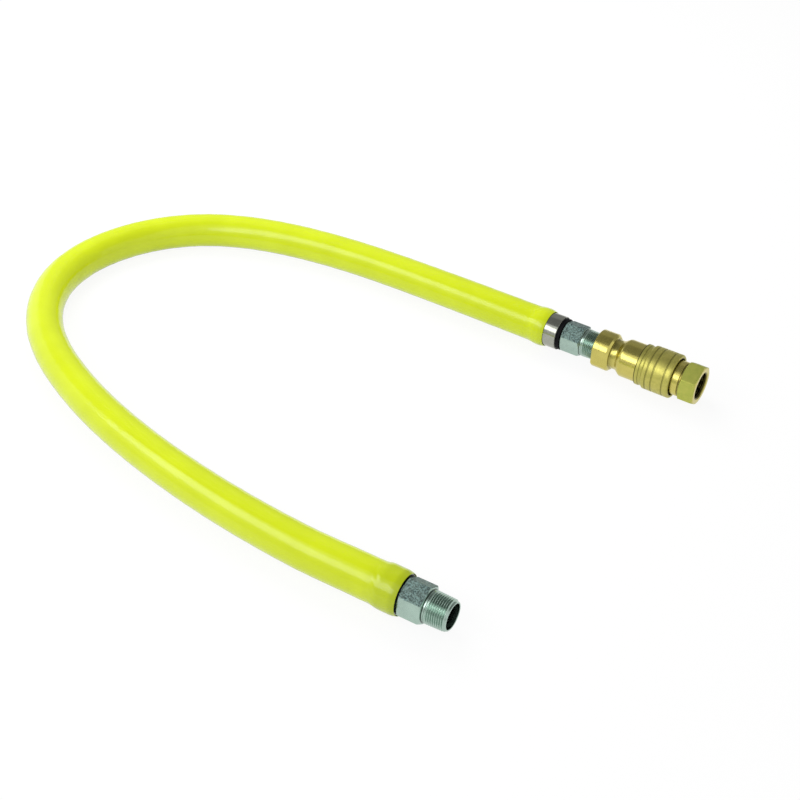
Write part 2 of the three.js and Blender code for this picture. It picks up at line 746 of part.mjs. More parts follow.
farEnd.add(
  namedMesh("swivel_housing", swivelHousing(), stainless),
  namedMesh("swivel_collar", collar(cuffCoverStep - farCuffLength, collarShown), stainless),
  namedMesh("swivel_retaining_ring", retainingRing(), springSteel),
  namedMesh("dust_ring", dustRing(), rubber),
  namedMesh("swivel_nipple", swivelNipple(), zincSteel),
  namedMesh("socket_tail", socketTail(), brass),
  namedMesh("socket_barrel", socketBarrel(), brass),
  namedMesh("barrel_seal", sealRing((barrelRear + tailEnd) / 2, barrelSpigot - sealWire, sealWire), rubber),
  namedMesh("plug_seal", sealRing(plugSealCentre, barrelBore + plugSealWire, plugSealWire), rubber),
  namedMesh("valve_guide", valveGuide(), brass),
  namedMesh("valve_poppet", valvePoppet(), brass),
  namedMesh("poppet_seal", poppetSeal(), rubber),
  namedMesh("valve_spring", spring(guideEnd, poppetStart, valveSpringRadius, valveSpringWire,
    valveSpringTurns), springSteel),
  namedMesh("sleeve_spring", spring(tailEnd, landStart, (barrelRadius + skirtBore) / 2, sleeveSpringWire,
    sleeveSpringTurns), springSteel),
  namedMesh("release_sleeve", releaseSleeve(), brass),
  namedMesh("sleeve_stop_ring", stopRing(), springSteel),
  namedMesh("plug", plugBody(), dullBrass),
);
swivelSeals.forEach((station, i) => {
  farEnd.add(namedMesh(`swivel_seal_${i + 1}`, sealRing(station, shankRadius - sealWire, sealWire), rubber));
});
for (let i = 0; i < ballCount; i += 1) {
  farEnd.add(namedMesh(`locking_ball_${i + 1}`, lockingBall(i), springSteel));
}

const gasHose = new THREE.Group();
gasHose.add(
  nearEnd,
  farEnd,
  namedMesh("hose_jacket", jacket(curve, ends), yellowCoating),
  namedMesh("wire_braid", innerLayer(curve, ends, braidOuter, braidInner, braidSetback), stainless),
  namedMesh("corrugated_tube", innerLayer(curve, ends, tubeOuter, tubeInner, tubeSetback), stainless),
);

export default gasHose;
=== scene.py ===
"""Looks of a flexible gas hose with a yellow coating and a brass quick-disconnect coupling.

Lengths in the code are millimetres and are turned into metres when a mesh is made. Turned and
hexagonal pieces are worked out about one of two axes, the near fitting's and the coupling's.
"""

import json
import math

import bmesh
import bpy
import numpy as np
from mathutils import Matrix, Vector

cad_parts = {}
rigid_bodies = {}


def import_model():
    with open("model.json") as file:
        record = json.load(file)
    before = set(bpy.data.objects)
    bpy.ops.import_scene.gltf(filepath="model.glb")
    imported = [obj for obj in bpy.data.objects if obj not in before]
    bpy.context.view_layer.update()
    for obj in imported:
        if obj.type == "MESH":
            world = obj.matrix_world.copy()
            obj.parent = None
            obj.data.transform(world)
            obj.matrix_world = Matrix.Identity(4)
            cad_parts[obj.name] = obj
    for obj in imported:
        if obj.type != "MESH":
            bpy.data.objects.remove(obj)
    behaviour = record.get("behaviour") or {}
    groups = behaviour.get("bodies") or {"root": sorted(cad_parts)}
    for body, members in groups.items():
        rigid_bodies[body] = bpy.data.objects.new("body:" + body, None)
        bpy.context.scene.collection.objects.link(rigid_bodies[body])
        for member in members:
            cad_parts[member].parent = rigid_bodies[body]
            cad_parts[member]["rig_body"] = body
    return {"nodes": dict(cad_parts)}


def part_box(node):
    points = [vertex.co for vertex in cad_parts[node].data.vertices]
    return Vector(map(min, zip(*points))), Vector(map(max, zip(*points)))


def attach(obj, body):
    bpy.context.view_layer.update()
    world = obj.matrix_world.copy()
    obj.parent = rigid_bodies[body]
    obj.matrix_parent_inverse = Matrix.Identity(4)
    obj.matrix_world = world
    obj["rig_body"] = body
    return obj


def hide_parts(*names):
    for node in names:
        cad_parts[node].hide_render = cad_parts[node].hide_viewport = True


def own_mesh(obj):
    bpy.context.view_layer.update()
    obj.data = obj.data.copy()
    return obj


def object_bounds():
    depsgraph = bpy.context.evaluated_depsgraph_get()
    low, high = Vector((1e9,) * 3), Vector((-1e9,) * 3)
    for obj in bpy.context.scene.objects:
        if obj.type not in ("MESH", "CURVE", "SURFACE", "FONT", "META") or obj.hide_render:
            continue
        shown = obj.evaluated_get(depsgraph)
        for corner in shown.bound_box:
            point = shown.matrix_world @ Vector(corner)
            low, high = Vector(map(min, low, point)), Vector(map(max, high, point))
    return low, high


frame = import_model()
CAD_BOX = [list(corner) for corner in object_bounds()]

bl_info = {
    "name": "Flexible gas hose",
    "version": (1, 0, 0),
    "blender": (4, 5, 0),
    "location": "View3D > Sidebar > Gas hose",
    "description": "Builds the pieces and finishes of a coated gas hose around its fixed frame",
    "category": "Object",
}

MM = 0.001
TURN = 2 * math.pi

# Route of the hose's centre line on the floor, in metres, from the near end to the coupling
ROUTE = [
    (0.2406, -0.1772), (0.21565, -0.17877), (0.1907, -0.18034), (0.1509, -0.1825),
    (0.1055, -0.1819), (0.0605, -0.1798), (0.0158, -0.1757), (-0.0285, -0.1697),
    (-0.0724, -0.1615), (-0.1159, -0.1507), (-0.1589, -0.1366), (-0.2013, -0.1185),
    (-0.2402, -0.0946), (-0.2723, -0.0631), (-0.2935, -0.0246), (-0.2997, 0.0183),
    (-0.2905, 0.0615), (-0.2686, 0.0999), (-0.2367, 0.1303), (-0.1975, 0.1516),
    (-0.1539, 0.1657), (-0.1088, 0.1744), (-0.0636, 0.1789), (-0.0182, 0.180), (0.0272, 0.1795),
    (0.0724, 0.1788), (0.1125, 0.1785), (0.1374, 0.1785), (0.1623, 0.1785),
]

# Distances from an end at which the centre line leaves the end's height and reaches the floor
LEVEL_END = 55.0
NEAR_RISE = 150.0
FAR_RISE = 270.0

# Hose layers, millimetres: the gap between two pieces, the radii from the outside in, and the
# waves of tube and braid
FIT_GAP = 0.3
COATING_INNER = 15.5
BRAID_OUTER = 15.2
BRAID_INNER = 14.1
TUBE_OUTER = 13.8
TUBE_INNER = 10.6
TUBE_WALL = 0.3
CORRUGATION_PITCH = 4.8
CREST_FLATNESS = 1.6
BRAID_SETBACK = 3.5
BRAID_WAVE = {"height": 0.05, "length": 7.3}

# Ends of the coating, swollen over the collars beneath them
CUFF_OUTER = 18.39
CUFF_INNER = 16.72
CUFF_STEP = 10.0
CUFF_END_TAPER = 6.5
CUFF_END_DROP = 1.25
NEAR_CUFF = 20.0
FAR_CUFF = 14.0

# Unevenness of the coating: height, waves to a millimetre, waves to a turn and shift of each wave
JACKET_WAVES = ((0.035, 1 / 19, 2, 0.4), (0.03, 1 / 31, 3, 2.1), (0.025, 1 / 11, 1, 4.0))
EVEN_END = 8.0
JACKET_EASE = 0.06

# Creases at a cuff's step: their heights, waves to a turn, slant, and reach to each side
CREASE_HEIGHTS = (0.15, 0.11)
CREASE_TURNS = (7, 11)
CREASE_SLANT = 1.3
CREASE_REACH = 3.0

# Painted shade on the coating's near cuff and at its ends: how much of the shade colour each
# takes. It fades out between two places, counted from the cuff's length and from the end's taper
NEAR_CUFF_PAINTED_SHADE = 0.26
NEAR_END_PAINTED_SHADE = 0.12
FAR_END_PAINTED_SHADE = 0.06
CUFF_SHADE_FADE = (-8.0, 12.0)
END_SHADE_FADE = (-3.5, 0.5)

# Spigots, collars and the swivel, millimetres. Stations start at the end of the coated hose
SPIGOT_LENGTH = 22.0
SPIGOT_RADIUS = 13.3
FLANGE_START = -3.2
FLANGE_RADIUS = 15.37
COLLAR_INNER = 15.72
COLLAR_EDGE = 0.35
SWIVEL_BORE = 11.2
SHANK_RADIUS = 10.9
SHANK_BORE = 7.0
HOUSING_BORE = 8.2
HOUSING_BORE_END = -7.8
SEAL_STATIONS = (-3.3, 2.7)
SEAL_WIRE = 0.75
RETAINER_STATION = 9.0
RETAINER_WIRE = 0.8
RETAINER_ARC = 330 / 360
RETAINER_GROOVE_DEPTH = 0.9
GROOVE_HALF = 1.1
DUST_RING_RADIUS = 15.4
DUST_CHANNEL = {"half": 0.7, "depth": 0.5}

# Pipe thread, neck and bore of the two nipples, millimetres
THREAD_RADIUS = 13.335
THREAD_TAPER = 1 / 32
THREAD_PITCH = 1.814
THREAD_DEPTH = 1.15
THREAD_FLAT = 0.1
THREAD_RUN_OUT = 1.6
SOCKET_THREAD_RUN_OUT = 2.0
NEAR_THREAD = 16.4
SWIVEL_THREAD = 20.9
THREAD_SHOWN = 12.6
THREAD_SAMPLES = 12
NECK_LENGTH = 2.3
NECK_RADIUS = 12.9
NIPPLE_MOUTH = 11.65
NIPPLE_TIP = 1.5
TIP_SLOPE = 0.9
TIP_LEVEL = 0.6
NEAR_ENTRY = 10.4
NEAR_ENTRY_DEPTH = 7.0
NEAR_BORE = 9.4
SWIVEL_NIPPLE_BORE = 9.6
SHANK_BORE_END = 2.0

# Hexagons: width across flats, degrees from straight up to a corner, length along the axis, and
# which faces are matt: all of the plug's, which are milled, and the two upward faces on each zinc
# nipple, left rough from casting and given a darker colour that is painted shade
NEAR_HEX = {"flats": 29.4, "turn": 51.0, "length": 20.0, "matt_and_shade": (4, 5)}
SWIVEL_HEX = {"flats": 27.4, "turn": 7.0, "length": 19.9, "matt_and_shade": (5, 0)}
PLUG_HEX = {"flats": 34.9, "turn": 55.5, "length": 15.4, "matt_and_shade": (0, 1, 2, 3, 4, 5)}
HEX_FACE_RELIEF = 0.35
HEX_EDGE = 0.3
HEX_CORNER_EDGE = 0.45
HEX_CHAMFER = math.radians(30)
HEX_CORNER_POWER = 74

# Socket, sleeve and plug, millimetres
TAIL_RADIUS = 18.1
TAIL_HEAD = {"length": 16.8, "chamfer": 2.1, "flats": 31.8, "turn": 89.0}
TAIL_NECK_RADIUS = 14.1
TAIL_NECK_FILLET = 1.7
TAIL_NECK_LENGTH = 5.2
TAIL_FLARE = 7.3
VALVE_CHAMBER = 14.5
VALVE_CHAMBER_DEPTH = 18.0
TAIL_GAS_BORE = 9.5
TAIL_EDGE = 0.6
NIPPLE_ROOM = 1.5
BARREL_RADIUS = 15.6
BARREL_SPIGOT = 14.2
BARREL_REAR_BORE = 11.8
BARREL_BORE = 12.0
BARREL_SHOULDER = 99.3
SEAT_BORE = 9.5
SEAT = (100.3, 103.5)
PLUG_SEAL_STATION = 109.5
PLUG_SEAL_WIRE = 0.8
PLUG_SEAL_GROOVE = 13.95
STOP_GROOVE_RADIUS = 14.65
STOP_RING = {"inner": 14.95, "outer": 16.9, "opening": 24 / 360}
BALL_STATION = 121.2
BALL_HOLE = (10.5, 17.0)
BALL_RADIUS = 2.4
BALL_COUNT = 8
SKIRT_RADIUS = 19.1
SKIRT_BEAD_RADIUS = 19.6
SKIRT_BEAD = 3.3
SKIRT_LENGTH = 6.6
SKIRT_BORE = 18.4
SLEEVE_SHOULDER = 1.4
SLEEVE_GROOVES = (11.8, 17.7, 28.3)
SLEEVE_GROOVE_HALF = 0.7
SLEEVE_GROOVE_DEPTH = 0.5
SLEEVE_EDGE = 0.9
SLEEVE_LAND = (115.2, 124.5)
SLEEVE_SPRING = {"wire": 0.85, "turns": 4}
LAND_RADIUS = 15.9
RELEASE_RECESS = 18.0
VALVE_SPRING = {"wire": 0.68, "turns": 3, "radius": 8.5}
GUIDE_WINDOWS = {"count": 4, "circle": 9.0, "radius": 3.4}
POPPET_RADIUS = 11.3
POPPET_DISC = 2.8
STEM_RADIUS = 2.5
CROWN_OUTER = 9.0
CROWN_INNER = 7.6
CROWN_NOTCHES = {"count": 4, "from_disc": 5.1, "radius": 2.6}
NOSE_RADIUS = 11.7
NOSE_GROOVE_RADIUS = 10.55
NOSE_GROOVE_TOP = 2.6
NOSE_GROOVE_BOTTOM = 1.2
NOSE_PASSAGE = 8.0
PLUG_COLLAR_RADIUS = 16.4
PLUG_THREAD_BORE = 12.3
PLUG_THREAD_DEPTH = 17.0
PLUG_RELIEF = 0.7

# How fine the surfaces are
SHARP_ANGLE = math.radians(34)
JACKET_SIDES = 96
JACKET_STEP = 2.2
JACKET_END_STEP = 0.45
BRAID_SIDES = 48
BRAID_STEP = 4.0
TUBE_SIDES = 24
CORRUGATION_STEPS = 8
PATH_POINTS = 240
TURNED_SIDES = 144
BARREL_SIDES = 96
SMALL_SIDES = 64
CUTTER_SIDES = 32
CORNER_STEPS = 4
CORNER_SHARE = 0.45
CORNER_ANGLES = (0, 0.5, 1.1, 1.9, 3, 4.6, 6.8, 9.6, 13, 16.8, 20.8, 25, 29)
FLARE_STEPS = 14
BALL_ROWS = 17
BALL_SIDES = 32
WIRE_STEPS = 56
LEAST_WIRE_STEPS = 24
INSIDE_STEP = 2.0

# Marks of a mesh's points that the finishes read, between 0 and 1. The first one stands for a
# face that is left rough from casting, milled or matt, and on the zinc hexagons' upward faces it
# also brings a painted shade; the second one is painted shade in bores, grooves, gaps and valleys
MARKS = ("matt_and_shade", "painted_shade")
SLEEVE_MATT = 0.65
# Painted shade in the valleys of the male threads and all over the plug's female thread
VALLEY_PAINTED_SHADE = 0.12
SOCKET_THREAD_PAINTED_SHADE = 0.9

# What each effect adds to a metal's roughness and to the height of its relief
METAL_ROUGHNESS = {"clouds": 0.05, "bands": 0.05, "matt_and_shade": 0.3, "lines": 0.15}
METAL_HEIGHT = {"rings": 0.35, "clouds": 0.05, "lines": -0.3, "matt_and_shade": 8.0}

# How far worn edges, which also carry a painted highlight, and painted shade change a metal's
# colour, and to which shade of it, and how much less metallic a matt face is
WORN_EDGE_AND_HIGHLIGHT = {"share": 0.6, "shade": 1.25}
PAINTED_SHADE_MIX = {"share": 0.96, "shade": 0.02}
CAST_DULLNESS = 0.3

# Colours of painted shade on the coating: at its ends, and along its outline where it is seen at a low
# angle
COATING_IN_SHADE = (0.13, 0.2, 0.002)
COATING_OUTLINE_SHADE = (0.2, 0.27, 0.002)

# Lights, in metres: where they hang, what they point at and their size
KEY_LIGHT = {"location": (-0.46, -1.03, 1.02), "target": (0.2, 0.0, 0.0), "width": 1.9, "height": 0.68}
LEFT_LIGHT = {"location": (-0.7, 0.5, 0.95), "target": (-0.2, 0.0, 0.0), "width": 0.9, "height": 0.9}

# Camera of the photograph, in metres, found from the hose's outline, and the floor
CAMERA_PLACE = (0.5832, -0.6729, 0.6875)
CAMERA_WAY = (-0.5741, 0.8188, 0.0)
CAMERA_DOWN = math.radians(38.767)
SENSOR_WIDTH = 36.0
FLOOR_HALF = 6.0
FLOOR_DROP = 0.0002
FLOOR_GREY = 0.86
FLOOR_WHITE = 1.03
FLOOR_WHITE_SHARE = 0.88


class GasHoseSettings(bpy.types.PropertyGroup):
    """Sizes and colours of the hose that a user would change"""

    hose_diameter: bpy.props.FloatProperty(
        name="Hose diameter", description="Outside diameter of the yellow coating",
        default=0.0346, unit="LENGTH", precision=4)
    cord_length: bpy.props.FloatProperty(
        name="Hose length", description="Length of the coated hose along its centre line",
        default=1.169, unit="LENGTH", precision=3)
    yellow: bpy.props.FloatVectorProperty(
        name="Coating", description="Colour of the coating", subtype="COLOR",
        default=(0.68, 0.80, 0.006))
    zinc: bpy.props.FloatVectorProperty(
        name="Zinc", description="Colour of the zinc plated steel", subtype="COLOR",
        default=(0.40, 0.53, 0.46))
    brass: bpy.props.FloatVectorProperty(
        name="Brass", description="Colour of the polished brass", subtype="COLOR",
        default=(0.60, 0.53, 0.14))
    dull_brass: bpy.props.FloatVectorProperty(
        name="Dull brass", description="Colour of the plug's milled hexagon", subtype="COLOR",
        default=(0.44, 0.48, 0.09))
    stainless: bpy.props.FloatVectorProperty(
        name="Stainless steel", description="Colour of collars, braid and inner tube",
        subtype="COLOR", default=(0.37, 0.38, 0.33))
    spring_steel: bpy.props.FloatVectorProperty(
        name="Spring steel", description="Colour of springs, rings and balls", subtype="COLOR",
        default=(0.48, 0.49, 0.50))
    rubber: bpy.props.FloatVectorProperty(
        name="Rubber", description="Colour of the rubber rings", subtype="COLOR",
        default=(0.004, 0.004, 0.005))


class GasHoseStageSettings(bpy.types.PropertyGroup):
    """Camera and light of the studio"""

    lens: bpy.props.FloatProperty(
        name="Lens", description="Focal length of the camera", default=54.0, unit="CAMERA")
    key_level: bpy.props.FloatProperty(
        name="Key light", description="Brightness of the large soft light", default=2.6)
    left_level: bpy.props.FloatProperty(
        name="Left light", description="Brightness of the light beyond the bend", default=3.7)
    sky_level: bpy.props.FloatProperty(
        name="Sky", description="Brightness of the light from all sides", default=0.5)


def settings():
    return bpy.context.scene.gas_hose


# Axes of the two fittings


def node_height(node):
    low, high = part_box(node)
    return (low.z + high.z) / 2 / MM


def node_radius(node):
    low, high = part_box(node)
    return (high.z - low.z) / 2 / MM


def end_axis(inner, outer, height):
    """Origin at the outer route point and the direction from the inner one, in millimetres."""
    origin = np.array([outer[0] / MM, outer[1] / MM, height])
    along = np.array([outer[0] - inner[0], outer[1] - inner[1], 0.0])
    return origin, along / np.linalg.norm(along)


NEAR_AXIS = end_axis(ROUTE[1], ROUTE[0], node_height("near_nipple"))
COUPLING_AXIS = end_axis(ROUTE[-2], ROUTE[-1], node_height("release_sleeve"))


def span(node):
    """Where a node of the coupling starts and ends along the coupling's axis."""
    low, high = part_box(node)
    return low.x / MM - COUPLING_AXIS[0][0], high.x / MM - COUPLING_AXIS[0][0]


def place(axis, x, radius, angle):
    """Points at a distance along an axis, a radius and an angle from straight up.

    Point = origin + x along + radius (cos(angle) up + sin(angle) side), in metres."""
    origin, along = axis
    up = np.array([0.0, 0.0, 1.0])
    side = np.cross(along, up)
    x, radius, angle = np.broadcast_arrays(x, radius, angle)
    around = np.cos(angle)[..., None] * up + np.sin(angle)[..., None] * side
    return (origin + x[..., None] * along + radius[..., None] * around) * MM


# Meshes from grids


def grid_object(name, points, lengths, marks=None, closed_rows=True):
    """An object over a grid of points that is closed round its columns.

    Face (k, j) joins the points (k, j), (k, j + 1), (k + 1, j + 1) and (k + 1, j). The UV map
    holds the length along the rows and the share of a turn round the columns. Marks are named
    values of the points, between 0 and 1, for the finish."""
    rows, columns = points.shape[:2]
    spans = rows if closed_rows else rows - 1
    k, j = np.meshgrid(np.arange(spans), np.arange(columns), indexing="ij")
    corners = [(k, j), (k, j + 1), (k + 1, j + 1), (k + 1, j)]
    faces = np.stack([(a % rows) * columns + b % columns for a, b in corners], axis=-1)
    u = np.append(lengths, lengths[-1] + lengths[1] - lengths[0])
    uv = np.stack([np.stack([u[a], b / columns], axis=-1) for a, b in corners], axis=-2)
    mesh = bpy.data.meshes.new(name)
    mesh.from_pydata(points.reshape(-1, 3), (), faces.reshape(-1, 4))
    layer = mesh.uv_layers.new(name="Outline")
    layer.data.foreach_set("uv", uv.astype(np.float32).ravel())
    for mark in MARKS:
        values = np.broadcast_to((marks or {}).get(mark, 0.0), (rows, columns))
        attribute = mesh.attributes.new(mark, "FLOAT", "POINT")
        attribute.data.foreach_set("value", values.astype(np.float32).ravel())
    return finish_mesh(name, mesh)


def linked(name, data):
    """A new object of the scene."""
    obj = bpy.data.objects.new(name, data)
    bpy.context.scene.collection.objects.link(obj)
    return obj


def finish_mesh(name, mesh):
    """Merges poles, turns the faces outwards, smooths them and links the object."""
    work = bmesh.new()
    work.from_mesh(mesh)
    bmesh.ops.remove_doubles(work, verts=work.verts, dist=1e-7)
    bmesh.ops.recalc_face_normals(work, faces=work.faces)
    work.to_mesh(mesh)
    work.free()
    mesh.shade_smooth()
    mesh.set_sharp_from_angle(angle=SHARP_ANGLE)
    return linked(name, mesh)


# A row's last two marks: a matt face, which on the zinc hexagons also brings a painted shade, and
# painted shade
def row(x, radius, fillet=0.0, matt_and_shade=0.0, painted_shade=0.0):
    """A corner of an outline: station, radius, how far its rounding reaches, its marks."""
    return x, radius, fillet, (matt_and_shade, painted_shade)


def matt(rows, share):
    """The same rows with the first mark set to a share, for a matt surface."""
    return [(x, radius, fillet, (share, marks[1])) for x, radius, fillet, marks in rows]


def rounded(outline, columns, closed=True):
    """Rows of points for an outline whose corners are rounded.

    Between A and B, a little before and after a corner P, the curve is
    (1 - t)^2 A + 2 t (1 - t) P + t^2 B. Stations and radii may differ from column to column."""
    stations = [np.broadcast_to(x, columns) for x, _, _, _ in outline]
    radii = [np.broadcast_to(radius, columns) for _, radius, _, _ in outline]
    corners = np.stack([np.array(stations, float), np.array(radii, float)], axis=-1)
    steps = {-1: np.roll(corners, 1, axis=0) - corners, 1: np.roll(corners, -1, axis=0) - corners}
    lengths = {way: np.maximum(np.linalg.norm(step, axis=-1), 1e-9) for way, step in steps.items()}
    shortest = CORNER_SHARE * np.minimum(lengths[-1], lengths[1])
    points, marks = [], []
    for i, (_, _, fillet, marks_here) in enumerate(outline):
        count = 1
        if fillet > 0 and (closed or 0 < i < len(outline) - 1):
            reach = np.minimum(fillet, shortest[i])
            before = corners[i] + steps[-1][i] * (reach / lengths[-1][i])[:, None]
            after = corners[i] + steps[1][i] * (reach / lengths[1][i])[:, None]
            t = np.linspace(0, 1, CORNER_STEPS)[:, None, None]
            points.append((1 - t) ** 2 * before + 2 * t * (1 - t) * corners[i] + t ** 2 * after)
            count = CORNER_STEPS
        else:
            points.append(corners[i][None])
        across = np.stack([np.broadcast_to(mark, columns) for mark in marks_here])
        marks.append(np.repeat(across[None], count, axis=0))
    points, marks = np.concatenate(points), np.concatenate(marks)
    return points[..., 0], points[..., 1], {mark: marks[:, i] for i, mark in enumerate(MARKS)}


def turned(name, axis, outline, angles=None, closed=True):
    """A turned or hexagonal piece: its outline runs forward outside and back along the bore."""
    angles = even_angles(TURNED_SIDES) if angles is None else angles
    x, radius, marks = rounded(outline, len(angles), closed)
    steps = np.hypot(np.diff(x, axis=0), np.diff(radius, axis=0)).mean(axis=1)
    lengths = np.concatenate([[0], np.cumsum(steps)])
    return grid_object(name, place(axis, x, radius, angles[None]), lengths, marks, closed)


def even_angles(count):
    return np.arange(count) / count * TURN


def hexagon_angles(turn):
    """Angles of the columns of a hexagonal piece, close together near its corners."""
    half = np.array(CORNER_ANGLES, float)
    sector = np.concatenate([half, 60 - half[:0:-1]])
    return np.radians(turn + (sector[None] + 60 * np.arange(6)[:, None]).ravel())


def hexagon_rows(size, start, angles):
    """Rows of a hexagon whose corners are turned off at both ends.

    The radius is half the flats over the largest cosine between the angle and a face. The
    largest is taken as a sum of high powers, which rounds the corners a little. The chamfer
    starts where that radius meets a cone from the turned face."""
    faces = np.radians(size["turn"] + 30 + 60 * np.arange(6))
    reach = np.clip(np.cos(angles[:, None] - faces), 0, None)
    radius = size["flats"] / 2 / (reach ** HEX_CORNER_POWER).sum(axis=1) ** (1 / HEX_CORNER_POWER)
    turned_face = size["flats"] / 2 - HEX_FACE_RELIEF
    chamfer = (radius - turned_face) * math.tan(HEX_CHAMFER)
    # Listed faces take the matt mark; on the zinc nipples these face upwards and their darker colour is
    # painted shade
    matt_and_shade = np.isin(reach.argmax(axis=1), size["matt_and_shade"]).astype(float)
    end = start + size["length"]
    return [
        row(start, turned_face, HEX_EDGE), row(start + chamfer, radius, HEX_CORNER_EDGE, matt_and_shade),
        row(end - chamfer, radius, HEX_CORNER_EDGE, matt_and_shade), row(end, turned_face, HEX_EDGE),
    ]


def ridge(x, angles):
    """Height of a thread's profile, 0 in the valley and 1 on the crest.

    The phase is the station over the pitch less the share of a turn, so that the thread is
    right-handed. The flanks are straight, and crest and valley are flat over a small share."""
    phase = (x[:, None] / THREAD_PITCH - angles[None] / TURN) % 1
    return np.clip((np.abs(2 * phase - 1) - THREAD_FLAT) / (1 - 2 * THREAD_FLAT), 0, 1)


def smooth_share(value, low, high):
    t = np.clip((value - low) / (high - low), 0, 1)
    return t * t * (3 - 2 * t)


def male_thread_rows(start, length, angles):
    """Rows of a tapered male thread that runs out at its start and is chamfered at its tip."""
    x = start + np.arange(0, length, THREAD_PITCH / THREAD_SAMPLES)
    crest = THREAD_RADIUS - THREAD_TAPER * (x - start)
    deep = smooth_share(x, start - THREAD_PITCH / 2, start + THREAD_RUN_OUT * THREAD_PITCH)
    valley = deep[:, None] * (1 - ridge(x, angles))
    tip = NIPPLE_MOUTH + TIP_SLOPE * (start + length + TIP_LEVEL - x)
    radius = np.minimum(crest[:, None] - THREAD_DEPTH * valley, tip[:, None])
    # The valleys carry painted shade
    return [row(x[k], radius[k], painted_shade=VALLEY_PAINTED_SHADE * valley[k]) for k in range(len(x))]


def female_thread_rows(mouth, depth, bore, angles):
    """Rows of a tapered female thread, from its mouth inwards."""
    x = mouth - np.arange(0, depth, THREAD_PITCH / THREAD_SAMPLES)
    deep = smooth_share(mouth - x, 0, THREAD_PITCH)
    deep = deep * smooth_share(x, mouth - depth, mouth - depth + SOCKET_THREAD_RUN_OUT)
    crest = bore - THREAD_TAPER * (mouth - x)
    radius = crest[:, None] + THREAD_DEPTH * deep[:, None] * ridge(x, angles)
    # The whole thread carries painted shade
    return [row(x[k], radius[k], painted_shade=SOCKET_THREAD_PAINTED_SHADE) for k in range(len(x))]


def nipple_rows(hex_end, length, angles):
    """Neck with a dark foot, thread and mouth of a nipple, from the end of its hexagon."""
    start = hex_end + NECK_LENGTH
    end = start + length + NIPPLE_TIP
    return [
        row(hex_end + 0.2, NECK_RADIUS + 0.3, 0.1, painted_shade=0.9),
        row(hex_end + 0.4, NECK_RADIUS, 0.1, painted_shade=0.9),
        row(hex_end + 0.7, NECK_RADIUS, painted_shade=0.5), row(hex_end + 0.9, NECK_RADIUS),
        row(start - 0.4, NECK_RADIUS, 0.3), *male_thread_rows(start, length, angles),
        row(end - 0.3, NIPPLE_MOUTH, 0.2), row(end, NIPPLE_MOUTH - 0.35, 0.2),
    ]


# A groove, whose bottom may carry painted shade
def groove_rows(centre, half, surface, bottom, edge=0.12, painted_shade=0.0):
    return [
        row(centre - half, surface, edge), row(centre - half, bottom, edge, painted_shade=painted_shade),
        row(centre + half, bottom, edge, painted_shade=painted_shade), row(centre + half, surface, edge),
    ]


def wire(name, axis, start, end, radius, turns, section, first=0.0, closed=False):
    """A wire wound about an axis: the centre line is a helix of even pitch.

    With r the radial direction and b square to r and to the helix, a point of the section
    (p, q) lies at centre + p r + q b. A share of 0 on the end rows closes the ends."""
    steps = max(LEAST_WIRE_STEPS, int(WIRE_STEPS * turns))
    t = np.linspace(0, 1, steps, endpoint=not closed)
    share = np.ones(steps)
    if not closed:
        t = np.concatenate([[0], t, [1]])
        share = np.concatenate([[0], share, [0]])
    angle = first + turns * TURN * t
    x = start + (end - start) * t
    centre = place(axis, x, radius, angle)
    radial = place(axis, x, radius + 1, angle) - centre
    round_way = place(axis, x, radius, angle + math.pi / 2) - place(axis, x, 0, angle)
    rise = (end - start) / max(turns * TURN * radius, 1e-9)
    along = round_way / (radius * MM) + rise * axis[1]
    binormal = np.cross(along / np.linalg.norm(along, axis=1)[:, None], radial / MM) * MM
    p, q = (section[None, :, i, None] * share[:, None, None] for i in (0, 1))
    points = centre[:, None] + p * radial[:, None] + q * binormal[:, None]
    lengths = t * turns * TURN * radius
    return grid_object(name, points, lengths, closed_rows=closed)


def round_section(radius, sides=14):
    angle = even_angles(sides)
    return radius * np.stack([np.cos(angle), np.sin(angle)], axis=1)


def flat_section(width, thickness, sides=24):
    """A rounded rectangle: |cos|^p and |sin|^p with their signs, p small."""
    angle = even_angles(sides)
    cos, sin = np.cos(angle), np.sin(angle)
    bend = 0.3
    across = np.sign(cos) * np.abs(cos) ** bend * width / 2
    through = np.sign(sin) * np.abs(sin) ** bend * thickness / 2
    return np.stack([across, through], axis=1)


def cut(piece, cutters):
    """Takes the cutters out of a piece with Boolean modifiers and removes them."""
    for cutter in cutters:
        modifier = piece.modifiers.new("cut", "BOOLEAN")
        modifier.object = cutter
        modifier.solver = "EXACT"
    bpy.context.view_layer.update()
    graph = bpy.context.evaluated_depsgraph_get()
    mesh = bpy.data.meshes.new_from_object(piece.evaluated_get(graph))
    piece.modifiers.clear()
    piece.data = mesh
    mesh.set_sharp_from_angle(angle=SHARP_ANGLE)
    for cutter in cutters:
        bpy.data.objects.remove(cutter)
    return piece


def cross_hole(axis, x, angle, radius, inner, outer):
    """A cutter: a short cylinder that points away from the axis."""
    centre = place(axis, x, 0.0, angle) / MM
    outward = place(axis, x, 1.0, angle) / MM - centre
    return turned("cutter", (centre, outward), [
        row(inner, 0.0), row(inner, radius), row(outer, radius), row(outer, 0.0),
    ], even_angles(CUTTER_SIDES), closed=False)


def stand_for(piece, node, slot):
    """The piece rides with its node's body, replaces the node and takes the slot's finish."""
    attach(piece, frame["nodes"][node]["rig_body"])
    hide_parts(node)
    piece.data.materials.clear()
    piece.data.materials.append(finish(slot))
    return piece


# Hose: layers along the route


